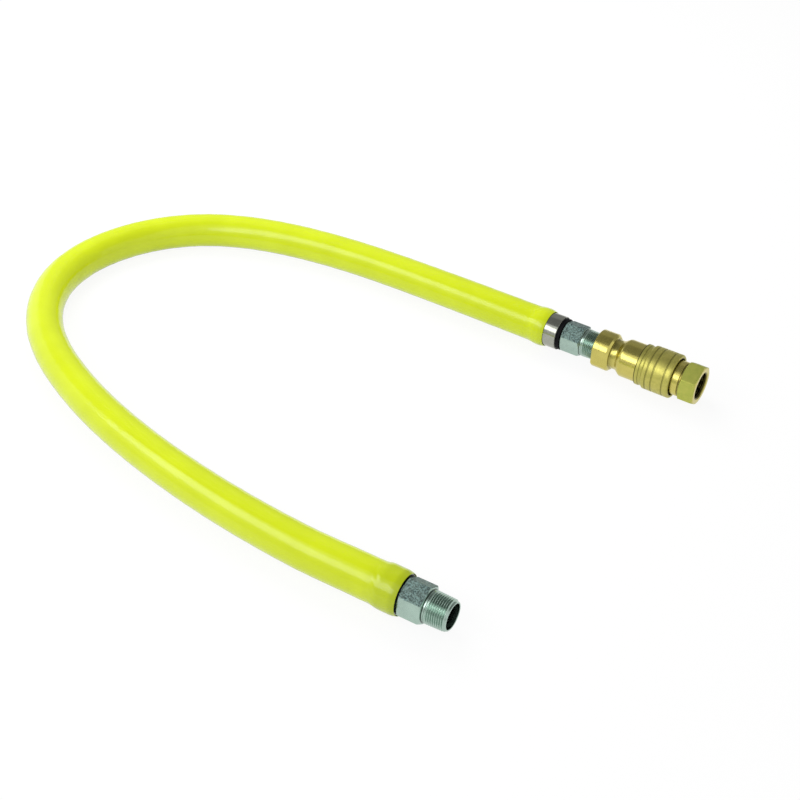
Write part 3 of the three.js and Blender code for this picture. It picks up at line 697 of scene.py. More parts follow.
def route_points(count=40):
    """Points of the hose's centre line in millimetres, on a centripetal Catmull-Rom curve.

    Between p1 and p2 the curve is the cubic with end slopes
    ((p1 - p0) / d0 - (p2 - p0) / (d0 + d1) + (p2 - p1) / d1) d1, and the like at p2, where
    d is the square root of the distance between two points."""
    ground = np.array(ROUTE) / MM
    from_near = np.linalg.norm(ground - ground[0], axis=1)
    from_far = np.linalg.norm(ground - ground[-1], axis=1)
    radius = settings().hose_diameter / 2 / MM
    near_rise = (1 - smooth_share(from_near, LEVEL_END, NEAR_RISE)) * (NEAR_AXIS[0][2] - radius)
    far_rise = (1 - smooth_share(from_far, LEVEL_END, FAR_RISE)) * (COUPLING_AXIS[0][2] - radius)
    knots = np.column_stack([ground, radius + near_rise + far_rise])
    knots = np.vstack([2 * knots[0] - knots[1], knots, 2 * knots[-1] - knots[-2]])
    p0, p1, p2, p3 = (knots[i:len(knots) - 3 + i, None] for i in range(4))
    d0, d1, d2 = (np.linalg.norm(b - a, axis=2, keepdims=True) ** 0.5
                  for a, b in ((p0, p1), (p1, p2), (p2, p3)))
    slope1 = ((p1 - p0) / d0 - (p2 - p0) / (d0 + d1) + (p2 - p1) / d1) * d1
    slope2 = ((p2 - p1) / d1 - (p3 - p1) / (d1 + d2) + (p3 - p2) / d2) * d1
    t = np.linspace(0, 1, count, endpoint=False)[None, :, None]
    cubic = 2 * p1 - 2 * p2 + slope1 + slope2
    square = -3 * p1 + 3 * p2 - 2 * slope1 - slope2
    points = p1 + slope1 * t + square * t ** 2 + cubic * t ** 3
    return np.vstack([points.reshape(-1, 3), knots[-2]])


class Route:
    """The centre line by its length, with a direction, a side and an up at each station."""

    def __init__(self):
        points = route_points()
        steps = np.linalg.norm(np.diff(points, axis=0), axis=1)
        self.points = points
        self.stations = np.concatenate([[0], np.cumsum(steps)])
        self.length = self.stations[-1]

    def at(self, station):
        return np.stack([np.interp(station, self.stations, self.points[:, i]) for i in range(3)], axis=1)

    def tube(self, station, radius, angles):
        """Points round the centre line: centre + radius (cos(angle) up + sin(angle) side)."""
        reach = 4.0
        ahead = self.at(np.minimum(station + reach, self.length))
        behind = self.at(np.maximum(station - reach, 0))
        along = ahead - behind
        along /= np.linalg.norm(along, axis=1)[:, None]
        side = np.cross(along, [0.0, 0.0, 1.0])
        side /= np.linalg.norm(side, axis=1)[:, None]
        up = np.cross(side, along)
        cos, sin = np.cos(angles)[None, :, None], np.sin(angles)[None, :, None]
        around = cos * up[:, None] + sin * side[:, None]
        return (self.at(station)[:, None] + radius[..., None] * around) * MM


def tube_object(name, route, stations, outer, inner, angles, painted_shade=None):
    """A closed tube: the outer surface forward along the route, the inner one back."""
    columns = len(angles)
    outside = np.broadcast_to(outer if outer.ndim == 2 else outer[:, None], (len(stations), columns))
    inside = np.broadcast_to(inner[:, None], (len(stations), columns))
    all_stations = np.concatenate([stations, stations[::-1]])
    radius = np.concatenate([outside, inside[::-1]])
    lengths = np.concatenate([stations, stations[-1] + np.arange(len(stations)) * INSIDE_STEP])
    marks = None if painted_shade is None else {"painted_shade": np.concatenate([painted_shade, painted_shade[::-1]])[:, None]}
    return grid_object(name, route.tube(all_stations, radius, angles), lengths, marks)


def cuff_shade(distance, length):
    """Shares, from 1 at the coating's end down to 0, for its cuff and for its turned-in edge."""
    on_cuff, at_edge = (
        1 - smooth_share(distance, reach + fade[0], reach + fade[1])
        for reach, fade in ((length, CUFF_SHADE_FADE), (CUFF_END_TAPER, END_SHADE_FADE))
    )
    return on_cuff, at_edge


def cuff_height(distance, length):
    """How far the coating stands out at a distance from its end.

    It rises by a smooth step where the collar beneath starts and stays level. Over the last few
    millimetres it turns in by a square, the drop times (1 - distance / taper)^2."""
    radius = settings().hose_diameter / 2 / MM
    rise = 1 - smooth_share(distance, length - CUFF_STEP / 2, length + CUFF_STEP / 2)
    turned_in = np.clip(1 - distance / CUFF_END_TAPER, 0, 1) ** 2
    return rise * (CUFF_OUTER - radius) - CUFF_END_DROP * turned_in


def jacket_rows(route):
    """Stations of the coating's rows, closer together at its two ends."""
    near = np.arange(0, NEAR_CUFF + 6, JACKET_END_STEP)
    far = route.length - np.arange(0, FAR_CUFF + 6, JACKET_END_STEP)[::-1]
    middle = np.arange(near[-1] + JACKET_STEP, far[0] - JACKET_STEP / 2, JACKET_STEP)
    return np.concatenate([near, middle, far])


def make_jacket():
    """The yellow coating: a tube with a swollen cuff at each end and slight unevenness.

    Each wave is a sine of the station and of the angle. The creases are two such sines, and they
    fade out to both sides of a cuff's step."""
    route = Route()
    angles = even_angles(JACKET_SIDES)
    stations = jacket_rows(route)
    near, far = stations, route.length - stations
    outer = settings().hose_diameter / 2 / MM + cuff_height(near, NEAR_CUFF) + cuff_height(far, FAR_CUFF)
    uneven = sum(
        size * np.sin(TURN * stations[:, None] * rate + turns * angles[None] + shift)
        for size, rate, turns, shift in JACKET_WAVES
    )
    creases = sum(
        np.exp(-((distance - length) / CREASE_REACH) ** 2)[:, None]
        * (CREASE_HEIGHTS[0] * np.sin(CREASE_TURNS[0] * angles + length)
           + CREASE_HEIGHTS[1] * np.sin(CREASE_TURNS[1] * angles - distance[:, None] / CREASE_SLANT))
        for distance, length in ((near, NEAR_CUFF), (far, FAR_CUFF))
    )
    ends = smooth_share(np.minimum(near, far), 0, EVEN_END)[:, None]
    outer = outer[:, None] + ends * (uneven + creases)
    covered = np.maximum(
        1 - smooth_share(near, NEAR_CUFF - 1, NEAR_CUFF), 1 - smooth_share(far, FAR_CUFF - 1, FAR_CUFF))
    inner = COATING_INNER + JACKET_EASE + covered * (CUFF_INNER - COATING_INNER)
    # Painted shade on the near cuff and at the turned-in ends
    near_cuff, near_edge = cuff_shade(near, NEAR_CUFF)
    far_edge = cuff_shade(far, FAR_CUFF)[1]
    painted_shade = NEAR_CUFF_PAINTED_SHADE * near_cuff + NEAR_END_PAINTED_SHADE * near_edge + FAR_END_PAINTED_SHADE * far_edge
    piece = tube_object("yellow_jacket", route, stations, outer, inner, angles, painted_shade)
    stand_for(piece, "hose_jacket", "yellow_coating")
    return piece, route


def make_braid(route):
    """The stainless braid under the coating. Its crossing strands are in the finish."""
    stations = np.arange(BRAID_SETBACK, route.length - BRAID_SETBACK, BRAID_STEP)
    wave = BRAID_WAVE["height"] * (np.sin(TURN * stations / BRAID_WAVE["length"]) - 1)
    piece = tube_object("steel_braid", route, stations, BRAID_OUTER + wave,
                        np.full(len(stations), BRAID_INNER), even_angles(BRAID_SIDES))
    stand_for(piece, "wire_braid", "stainless_steel")
    piece.data.materials[0] = braid_finish()
    return piece


def make_corrugated_tube(route):
    """The thin corrugated tube: its radius is a cosine of the station with flattened crests."""
    setback = SPIGOT_LENGTH + FIT_GAP
    stations = np.arange(setback, route.length - setback, CORRUGATION_PITCH / CORRUGATION_STEPS)
    crest = np.cos(TURN * (stations - setback) / CORRUGATION_PITCH)
    wave = np.tanh(CREST_FLATNESS * crest) / math.tanh(CREST_FLATNESS)
    middle = (TUBE_OUTER + TUBE_INNER) / 2
    height = (TUBE_OUTER - TUBE_INNER - TUBE_WALL) / 2
    outer = middle + TUBE_WALL / 2 + height * wave
    piece = tube_object("corrugated_inner_tube", route, stations, outer, outer - TUBE_WALL,
                        even_angles(TUBE_SIDES))
    return stand_for(piece, "corrugated_tube", "stainless_steel")


# Near fitting


# The flange's face carries painted shade, a shadow line at the coating's end
def spigot_rows():
    return [
        row(-SPIGOT_LENGTH, SPIGOT_RADIUS, 0.3), row(FLANGE_START, SPIGOT_RADIUS, 0.2),
        row(FLANGE_START, FLANGE_RADIUS, 0.2, painted_shade=1.0),
    ]


def make_near_nipple():
    """Spigot, hexagon, neck, tapered thread and stepped bore of the fixed nipple."""
    angles = hexagon_angles(NEAR_HEX["turn"])
    hex_start = FIT_GAP
    hex_end = hex_start + NEAR_HEX["length"]
    end = hex_end + NECK_LENGTH + NEAR_THREAD + NIPPLE_TIP
    ledge = end - NEAR_ENTRY_DEPTH
    piece = turned("zinc_near_nipple", NEAR_AXIS, [
        # The flange's end and rim carry painted shade
        *spigot_rows(), row(0.0, FLANGE_RADIUS, 0.15, painted_shade=1.0),
        row(0.05, FLANGE_RADIUS - 1.2, 0.1, painted_shade=1.0),
        *hexagon_rows(NEAR_HEX, hex_start, angles), *nipple_rows(hex_end, NEAR_THREAD, angles),
        # Painted shade inside the bore, less of it at the ledge
        row(end, NEAR_ENTRY, 0.35), row(end - 0.7, NEAR_ENTRY, painted_shade=0.6),
        row(ledge + 0.6, NEAR_ENTRY, painted_shade=0.78), row(ledge, NEAR_ENTRY, 0.15, painted_shade=0.6),
        row(ledge - 1, NEAR_BORE, 0.15, painted_shade=0.6), row(ledge - 1.8, NEAR_BORE, painted_shade=0.95),
        row(-SPIGOT_LENGTH, NEAR_BORE, 0.3, painted_shade=1.0),
    ], angles)
    return stand_for(piece, "near_nipple", "zinc_plated_steel")


# The collar's front face and bore carry painted shade
def collar_rows(rear, front):
    outer = node_radius("swivel_collar")
    return [
        row(rear, outer, 0.1), row(front, outer, COLLAR_EDGE),
        row(front, COLLAR_INNER, 0.15, painted_shade=0.5), row(rear, COLLAR_INNER, 0.1, painted_shade=1.0),
    ]


def make_near_collar():
    """The collar that holds the braid on the near nipple, under the coating."""
    piece = turned("near_collar", NEAR_AXIS, collar_rows(1 - NEAR_CUFF, -0.5))
    return stand_for(piece, "near_braid_collar", "stainless_steel")


# Swivel


def make_swivel_collar():
    """The polished collar at the coupling's end of the hose."""
    piece = turned("polished_collar", COUPLING_AXIS, collar_rows(*span("swivel_collar")))
    return stand_for(piece, "swivel_collar", "stainless_steel")


def make_swivel_housing():
    """Spigot and housing of the swivel, bored for the nipple with a groove for its ring."""
    front = span("swivel_collar")[1]
    bottom = SWIVEL_BORE + RETAINER_WIRE + FIT_GAP
    piece = turned("swivel_body", COUPLING_AXIS, [
        *spigot_rows(), row(front, FLANGE_RADIUS, 0.3), row(front, SWIVEL_BORE, 0.3),
        *groove_rows(RETAINER_STATION, -GROOVE_HALF, SWIVEL_BORE, bottom),
        row(HOUSING_BORE_END, SWIVEL_BORE, 0.2), row(HOUSING_BORE_END, HOUSING_BORE, 0.2),
        row(-SPIGOT_LENGTH, HOUSING_BORE, 0.2),
    ])
    return stand_for(piece, "swivel_housing", "stainless_steel")


def make_retaining_ring():
    """The split wire ring that keeps the swivel nipple in its housing."""
    piece = wire("retaining_wire_ring", COUPLING_AXIS, RETAINER_STATION, RETAINER_STATION,
                 SWIVEL_BORE, RETAINER_ARC, round_section(RETAINER_WIRE))
    return stand_for(piece, "swivel_retaining_ring", "spring_steel")


def make_dust_ring():
    """The black rubber ring with a shallow channel round its middle."""
    start, end = span("dust_ring")
    middle = (start + end) / 2
    outer, channel = DUST_RING_RADIUS, DUST_CHANNEL
    piece = turned("rubber_dust_ring", COUPLING_AXIS, [
        row(start, outer - 0.1, 0.6), row(start + 0.4, outer, 0.5),
        *groove_rows(middle, channel["half"], outer, outer - channel["depth"], 0.3),
        row(end - 0.4, outer, 0.5), row(end, outer - 0.1, 0.6), row(end, SWIVEL_BORE, 0.3),
        row(start, SWIVEL_BORE, 0.3),
    ])
    return stand_for(piece, "dust_ring", "black_rubber")


def make_swivel_nipple():
    """Grooved shank, hexagon, neck and tapered thread of the nipple that turns."""
    angles = hexagon_angles(SWIVEL_HEX["turn"])
    rear, end = span("swivel_nipple")
    hex_start = span("dust_ring")[1] + FIT_GAP
    hex_end = hex_start + SWIVEL_HEX["length"]
    seal_bottom = SHANK_RADIUS - 2 * SEAL_WIRE - FIT_GAP
    retainer_bottom = SHANK_RADIUS - RETAINER_GROOVE_DEPTH
    piece = turned("zinc_swivel_nipple", COUPLING_AXIS, [
        row(rear, SHANK_RADIUS, 0.6),
        *groove_rows(SEAL_STATIONS[0], GROOVE_HALF, SHANK_RADIUS, seal_bottom),
        *groove_rows(SEAL_STATIONS[1], GROOVE_HALF, SHANK_RADIUS, seal_bottom),
        *groove_rows(RETAINER_STATION, GROOVE_HALF, SHANK_RADIUS, retainer_bottom),
        row(hex_start, SHANK_RADIUS, 0.3), *hexagon_rows(SWIVEL_HEX, hex_start, angles),
        *nipple_rows(hex_end, SWIVEL_THREAD, angles), row(end, SWIVEL_NIPPLE_BORE, 0.3),
        row(hex_start + SHANK_BORE_END, SWIVEL_NIPPLE_BORE, 0.5), row(hex_start, SHANK_BORE, 0.5),
        row(rear, SHANK_BORE, 0.3),
    ], angles)
    return stand_for(piece, "swivel_nipple", "zinc_plated_steel")


def make_seals():
    """The rubber sealing rings of the swivel, the barrel and the plug, round in section."""
    barrel_seal = sum(span("barrel_seal")) / 2
    rings = {
        "swivel_seal_1": (SEAL_STATIONS[0], SHANK_RADIUS - SEAL_WIRE, SEAL_WIRE),
        "swivel_seal_2": (SEAL_STATIONS[1], SHANK_RADIUS - SEAL_WIRE, SEAL_WIRE),
        "barrel_seal": (barrel_seal, BARREL_SPIGOT - SEAL_WIRE, SEAL_WIRE),
        "plug_seal": (PLUG_SEAL_STATION, BARREL_BORE + PLUG_SEAL_WIRE, PLUG_SEAL_WIRE),
    }
    for node, (station, radius, half_thickness) in rings.items():
        piece = wire(f"rubber_{node}", COUPLING_AXIS, station, station, radius, 1,
                     round_section(half_thickness), closed=True)
        stand_for(piece, node, "black_rubber")


# Socket of the coupling


def flat_angles(turn, half):
    """Even angles with more of them at the edges of two opposite flats."""
    near_edge = np.array([-1.2, -0.5, 0.0, 0.5, 1.2])
    edges = [turn + side * math.degrees(half) + near_edge for side in (-1, 1)]
    edges = np.radians(np.concatenate([*edges, *(edge + 180 for edge in edges)])) % TURN
    return np.unique(np.round(np.concatenate([even_angles(TURNED_SIDES), edges]), 4))


def make_socket_tail():
    """Round head with two flats, necked waist, flare, cylinder and the valve's chamber.

    The head's radius is the smaller of the full one and half the flats over the cosine of the
    angle from the flat's middle. Its front chamfer starts further on where the radius is less."""
    half = math.acos(TAIL_HEAD["flats"] / 2 / TAIL_RADIUS)
    angles = flat_angles(TAIL_HEAD["turn"], half)
    start, end = span("socket_tail")
    nipple_end = span("swivel_nipple")[1]
    chamfer = TAIL_HEAD["chamfer"]
    head_end = start + TAIL_HEAD["length"]
    neck_end = head_end + TAIL_NECK_LENGTH
    flare_end = neck_end + TAIL_FLARE
    reach = np.abs(np.cos(angles - math.radians(TAIL_HEAD["turn"])))
    head = np.minimum(TAIL_RADIUS, TAIL_HEAD["flats"] / 2 / np.maximum(reach, 0.1))
    front = np.minimum(head_end - chamfer + TAIL_RADIUS - head, head_end - 0.05)
    t = np.linspace(0, 1, FLARE_STEPS)
    flare = TAIL_NECK_RADIUS + (TAIL_RADIUS - TAIL_NECK_RADIUS) * smooth_share(t, -0.04, 1.04)
    pocket = THREAD_RADIUS + FIT_GAP - THREAD_TAPER * THREAD_SHOWN
    pocket_end = nipple_end + NIPPLE_ROOM
    engaged = SWIVEL_THREAD - THREAD_SHOWN
    piece = turned("brass_socket_tail", COUPLING_AXIS, [
        row(start, np.minimum(head, TAIL_RADIUS - TAIL_EDGE), 0.2), row(start + TAIL_EDGE, head, 0.5),
        row(front, head, 0.45), row(head_end, np.minimum(head, TAIL_RADIUS - chamfer), 0.2),
        # Painted shade in the fillet of the neck
        row(head_end, TAIL_NECK_RADIUS, TAIL_NECK_FILLET, painted_shade=0.4),
        *[row(neck_end + TAIL_FLARE * t[k], flare[k]) for k in range(len(t))],
        row(flare_end + 1.5, TAIL_RADIUS), row(end, TAIL_RADIUS, 0.3),
        row(end, VALVE_CHAMBER, 0.2), row(end - VALVE_CHAMBER_DEPTH, VALVE_CHAMBER, 0.5),
        row(end - VALVE_CHAMBER_DEPTH, TAIL_GAS_BORE, 0.3), row(pocket_end, TAIL_GAS_BORE, 0.2),
        # Painted shade inside the pocket for the nipple's thread
        row(pocket_end, pocket - THREAD_TAPER * engaged, 0.2), row(start + 1.3, pocket, 0.1, painted_shade=0.9),
        row(start, pocket + 1.1, 0.2, painted_shade=0.5),
    ], angles)
    return stand_for(piece, "socket_tail", "polished_brass")


def make_socket_barrel():
    """The barrel with its valve seat, grooves and ring of holes for the balls."""
    rear, front = span("socket_barrel")
    ring = span("sleeve_stop_ring")
    stop_centre = sum(ring) / 2
    stop_half = (ring[1] - ring[0]) / 2 + FIT_GAP
    seal_centre = sum(span("barrel_seal")) / 2
    seal_bottom = BARREL_SPIGOT - 2 * SEAL_WIRE - FIT_GAP
    piece = turned("brass_socket_barrel", COUPLING_AXIS, [
        row(rear, BARREL_SPIGOT, 0.3),
        *groove_rows(seal_centre, GROOVE_HALF, BARREL_SPIGOT, seal_bottom),
        row(BARREL_SHOULDER, BARREL_SPIGOT, 0.1), row(BARREL_SHOULDER, BARREL_RADIUS, 0.3),
        *groove_rows(stop_centre, stop_half, BARREL_RADIUS, STOP_GROOVE_RADIUS),
        row(front, BARREL_RADIUS, 0.7), row(front, BARREL_BORE, 0.7),
        *groove_rows(PLUG_SEAL_STATION, -GROOVE_HALF, BARREL_BORE, PLUG_SEAL_GROOVE),
        row(SEAT[1] + 0.5, BARREL_BORE, 0.1), row(SEAT[1], SEAT_BORE, 0.2), row(SEAT[0], SEAT_BORE, 0.2),
        row(SEAT[0], BARREL_REAR_BORE, 0.1), row(rear, BARREL_REAR_BORE, 0.2),
    ], even_angles(BARREL_SIDES))
    holes = [
        cross_hole(COUPLING_AXIS, BALL_STATION, i / BALL_COUNT * TURN, BALL_RADIUS + FIT_GAP, *BALL_HOLE)
        for i in range(BALL_COUNT)
    ]
    return stand_for(cut(piece, holes), "socket_barrel", "polished_brass")


def make_balls():
    """Eight balls. A point is centre + r (cos(a), sin(a) cos(b), sin(a) sin(b))."""
    a = np.linspace(0, math.pi, BALL_ROWS)[:, None]
    b = even_angles(BALL_SIDES)[None]
    across = np.broadcast_arrays(np.cos(a), np.sin(a) * np.cos(b), np.sin(a) * np.sin(b))
    shape = np.stack(across, axis=-1)
    for i in range(1, BALL_COUNT + 1):
        node = f"locking_ball_{i}"
        low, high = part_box(node)
        centre = np.array((low + high) / 2)
        piece = grid_object(f"steel_ball_{i}", centre + shape * BALL_RADIUS * MM,
                            np.linspace(0, math.pi * BALL_RADIUS, BALL_ROWS), closed_rows=False)
        stand_for(piece, node, "spring_steel")


def make_sleeve():
    """The brass release sleeve: bead, skirt, shoulder, grooves, land and release recess."""
    rear, front = span("release_sleeve")
    radius = node_radius("release_sleeve")
    bead_end = rear + SKIRT_BEAD
    skirt_end = rear + SKIRT_LENGTH
    shoulder = skirt_end + SLEEVE_SHOULDER
    # The grooves' bottoms carry painted shade
    grooves = [
        part for station in SLEEVE_GROOVES
        for part in groove_rows(rear + station, SLEEVE_GROOVE_HALF, radius, radius - SLEEVE_GROOVE_DEPTH,
                                0.25, painted_shade=0.35)
    ]
    piece = turned("brass_release_sleeve", COUPLING_AXIS, matt([
        # Painted shade lines at the bead's rear edge and at its front step
        row(rear, SKIRT_BEAD_RADIUS, 0.5, painted_shade=1.0), row(rear + 0.7, SKIRT_BEAD_RADIUS, painted_shade=0.8),
        row(rear + 1.0, SKIRT_BEAD_RADIUS), row(bead_end, SKIRT_BEAD_RADIUS, 0.3),
        row(bead_end + 0.3, SKIRT_RADIUS, 0.2, painted_shade=0.4), row(bead_end + 0.8, SKIRT_RADIUS, painted_shade=0.3),
        row(bead_end + 1.1, SKIRT_RADIUS), row(skirt_end, SKIRT_RADIUS, 0.6),
        row(shoulder, radius, 0.7), *grooves,
        row(front - SLEEVE_EDGE, radius, 0.8), row(front, radius - SLEEVE_EDGE, 0.5),
        # Painted shade inside the release recess
        row(front, RELEASE_RECESS, 0.3, painted_shade=0.3), row(front - 1.5, RELEASE_RECESS, painted_shade=0.9),
        row(SLEEVE_LAND[1], RELEASE_RECESS, 0.3, painted_shade=0.9),
        row(SLEEVE_LAND[1], LAND_RADIUS, 0.2), row(SLEEVE_LAND[0], LAND_RADIUS, 0.2),
        row(SLEEVE_LAND[0], SKIRT_BORE, 0.3), row(rear, SKIRT_BORE, 0.3),
    ], SLEEVE_MATT))
    return stand_for(piece, "release_sleeve", "polished_brass")


def make_stop_ring():
    """The split flat ring in the barrel's groove that stops the sleeve."""
    ring = STOP_RING
    start, end = span("sleeve_stop_ring")
    middle = (start + end) / 2
    piece = wire("steel_stop_ring", COUPLING_AXIS, middle, middle, (ring["inner"] + ring["outer"]) / 2,
                 1 - ring["opening"], flat_section(ring["outer"] - ring["inner"], end - start),
                 first=TURN / 4 + TURN * ring["opening"] / 2)
    return stand_for(piece, "sleeve_stop_ring", "spring_steel")


def make_springs():
    """The sleeve's spring, squashed as the sleeve slides, and the valve's spring."""
    start, end = span("socket_tail")[1] + FIT_GAP, SLEEVE_LAND[0] - FIT_GAP
    size = SLEEVE_SPRING["wire"]
    sleeve = wire("sleeve_coil_spring", COUPLING_AXIS, start + size, end - size,
                  (BARREL_RADIUS + SKIRT_BORE) / 2, SLEEVE_SPRING["turns"], round_section(size))
    stand_for(sleeve, "sleeve_spring", "spring_steel")
    anchor = place(COUPLING_AXIS, start, 0.0, 0.0)
    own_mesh(sleeve)
    start, end = span("valve_spring")
    size = VALVE_SPRING["wire"]
    valve = wire("valve_coil_spring", COUPLING_AXIS, start + size, end - size,
                 VALVE_SPRING["radius"], VALVE_SPRING["turns"], round_section(size))
    stand_for(valve, "valve_spring", "spring_steel")


def make_valve():
    """Guide with four windows, and the poppet with its stem, disc, crown and rubber washer."""
    start, end = span("valve_guide")
    guide = turned("brass_valve_guide", COUPLING_AXIS, [
        row(start, VALVE_CHAMBER - FIT_GAP, 0.3), row(end, VALVE_CHAMBER - FIT_GAP, 0.3),
        row(end, STEM_RADIUS + FIT_GAP, 0.2), row(start, STEM_RADIUS + FIT_GAP, 0.2),
    ], even_angles(SMALL_SIDES))
    window = GUIDE_WINDOWS
    windows = []
    for i in range(window["count"]):
        centre = place(COUPLING_AXIS, 0.0, window["circle"], i / window["count"] * TURN) / MM
        windows.append(turned("cutter", (centre, COUPLING_AXIS[1]), [
            row(start - 2, 0.0), row(start - 2, window["radius"]),
            row(end + 2, window["radius"]), row(end + 2, 0.0),
        ], even_angles(CUTTER_SIDES), closed=False))
    stand_for(cut(guide, windows), "valve_guide", "polished_brass")
    start, end = span("valve_poppet")
    disc_end = span("poppet_seal")[0] - FIT_GAP
    disc_start = disc_end - POPPET_DISC
    poppet = turned("brass_valve_poppet", COUPLING_AXIS, [
        row(start, 0.0), row(start, STEM_RADIUS, 0.5), row(disc_start, STEM_RADIUS, 0.4),
        row(disc_start, POPPET_RADIUS, 0.3), row(disc_end, POPPET_RADIUS, 0.3),
        row(disc_end, CROWN_OUTER, 0.2), row(end, CROWN_OUTER, 0.3), row(end, CROWN_INNER, 0.3),
        row(disc_end, CROWN_INNER, 0.3), row(disc_end, 0.0),
    ], even_angles(SMALL_SIDES), closed=False)
    notch = CROWN_NOTCHES
    notches = [
        cross_hole(COUPLING_AXIS, disc_end + notch["from_disc"], i / notch["count"] * TURN,
                   notch["radius"], CROWN_INNER - 2, CROWN_OUTER + 2)
        for i in range(notch["count"])
    ]
    stand_for(cut(poppet, notches), "valve_poppet", "polished_brass")
    start, end = span("poppet_seal")
    washer = turned("rubber_poppet_washer", COUPLING_AXIS, [
        row(start, POPPET_RADIUS, 0.3), row(end, POPPET_RADIUS - 0.3, 0.4),
        row(end, CROWN_OUTER + FIT_GAP, 0.2), row(start, CROWN_OUTER + FIT_GAP, 0.2),
    ], even_angles(SMALL_SIDES))
    stand_for(washer, "poppet_seal", "black_rubber")


def make_plug():
    """The plug: nose with the ball groove, collar, hexagon and a threaded mouth."""
    angles = hexagon_angles(PLUG_HEX["turn"])
    tip, end = span("plug")
    shoulder = span("socket_barrel")[1] + FIT_GAP
    hex_start = end - PLUG_HEX["length"]
    mouth = end - 1.2
    relief = PLUG_COLLAR_RADIUS - PLUG_RELIEF
    piece = turned("brass_plug", COUPLING_AXIS, [
        row(tip, NOSE_RADIUS - 1, 0.4), row(tip + 1, NOSE_RADIUS, 0.5),
        row(BALL_STATION - NOSE_GROOVE_TOP, NOSE_RADIUS, 0.4),
        row(BALL_STATION - NOSE_GROOVE_BOTTOM, NOSE_GROOVE_RADIUS, 0.6),
        row(BALL_STATION + NOSE_GROOVE_BOTTOM, NOSE_GROOVE_RADIUS, 0.6),
        row(BALL_STATION + NOSE_GROOVE_TOP, NOSE_RADIUS, 0.4),
        row(shoulder, NOSE_RADIUS, 0.2), row(shoulder, PLUG_COLLAR_RADIUS, 0.5),
        row(hex_start - 1.8, PLUG_COLLAR_RADIUS, 0.3),
        # Painted shade in the relief before the hexagon
        row(hex_start - 1.5, relief, 0.2, painted_shade=0.6), row(hex_start - 0.3, relief, 0.2, painted_shade=0.6),
        *hexagon_rows(PLUG_HEX, hex_start, angles),
        # Painted shade inside the threaded mouth, the thread and the passage
        row(end, PLUG_THREAD_BORE + 1.3, 0.2), row(end - 0.3, PLUG_THREAD_BORE + 1.0, painted_shade=0.5),
        *female_thread_rows(mouth, PLUG_THREAD_DEPTH - 1.5, PLUG_THREAD_BORE, angles),
        row(end - PLUG_THREAD_DEPTH - 0.5, PLUG_THREAD_BORE - 0.6, 0.4, painted_shade=1.0),
        row(end - PLUG_THREAD_DEPTH - 2, NOSE_PASSAGE, 0.4, painted_shade=1.0),
        row(tip, NOSE_PASSAGE, 0.4, painted_shade=1.0),
    ], angles)
    return stand_for(piece, "plug", "satin_brass")


# Shader nodes


def add(tree, kind, props=None, **inputs):
    """A node of a kind with its settings. An input is a value or a socket to link."""
    node = tree.nodes.new(kind)
    for key, value in (props or {}).items():
        setattr(node, key, value)
    feed(tree, node, **inputs)
    return node


def feed(tree, node, **inputs):
    """Sets or links a node's inputs by name, with an underscore for each space."""
    for key, value in inputs.items():
        connect(tree, node.inputs[key.replace("_", " ")], value)


def connect(tree, socket, value):
    if isinstance(value, bpy.types.NodeSocket):
        tree.links.new(value, socket)
    else:
        socket.default_value = value


def maths(tree, operation, a, b=0.0, clamp=False):
    node = tree.nodes.new("ShaderNodeMath")
    node.operation = operation
    node.use_clamp = clamp
    connect(tree, node.inputs[0], a)
    connect(tree, node.inputs[1], b)
    return node.outputs[0]


def scaled(tree, value, factor):
    return maths(tree, "MULTIPLY", value, factor)


def total(tree, first, *others, clamp=False):
    """The sum of some values. With clamp on, no step of it leaves 0 to 1."""
    for other in others:
        first = maths(tree, "ADD", first, other, clamp)
    return first


def mix_colours(tree, share, a, b):
    node = tree.nodes.new("ShaderNodeMix")
    node.data_type = "RGBA"
    connect(tree, node.inputs[0], share)
    connect(tree, node.inputs[6], a)
    connect(tree, node.inputs[7], b)
    return node.outputs[2]


def remap(tree, value, low, high, to_low=0.0, to_high=1.0):
    node = add(tree, "ShaderNodeMapRange", Value=value)
    for index, number in enumerate((low, high, to_low, to_high), start=1):
        connect(tree, node.inputs[index], number)
    return node.outputs["Result"]


def noise(tree, vector, scale, detail, **inputs):
    node = add(tree, "ShaderNodeTexNoise", Vector=vector, Scale=scale, Detail=detail, **inputs)
    return node.outputs[0]


def line_noise(tree, place_along, detail):
    """Noise that changes along one number only."""
    node = add(tree, "ShaderNodeTexNoise", {"noise_dimensions": "1D"},
               W=place_along, Scale=1.0, Detail=detail)
    return node.outputs[0]


def bumped(tree, height, strength, distance):
    return add(tree, "ShaderNodeBump", Strength=strength, Distance=distance, Height=height).outputs[0]


def new_group(name, inputs, outputs):
    """A shader group with named sockets: its tree, its inputs and its output node."""
    tree = bpy.data.node_groups.new(name, "ShaderNodeTree")
    for label, (kind, default) in inputs.items():
        socket = tree.interface.new_socket(label, in_out="INPUT", socket_type=kind)
        if default is not None:
            socket.default_value = default
    for label in outputs:
        tree.interface.new_socket(label, in_out="OUTPUT", socket_type="NodeSocketFloat")
    return tree, tree.nodes.new("NodeGroupInput").outputs, tree.nodes.new("NodeGroupOutput")


def group_once(build):
    """Builds a group the first time it is asked for."""
    name = build.__doc__.split(":")[0]
    return lambda: bpy.data.node_groups.get(name) or build(name)


VECTOR = ("NodeSocketVector", None)


@group_once
def mottle_group(name):
    """Mottling: soft clouds over a surface, with a finer cloud inside them."""
    tree, given, out = new_group(name, {
        "Vector": VECTOR, "Scale": ("NodeSocketFloat", 60.0),
    }, ("Clouds", "Fine"))
    wide = noise(tree, given["Vector"], given["Scale"], 3.0)
    fine = noise(tree, given["Vector"], scaled(tree, given["Scale"], 7.0), 4.0)
    feed(tree, out, Clouds=remap(tree, wide, 0.3, 0.7), Fine=remap(tree, fine, 0.3, 0.7))
    return tree


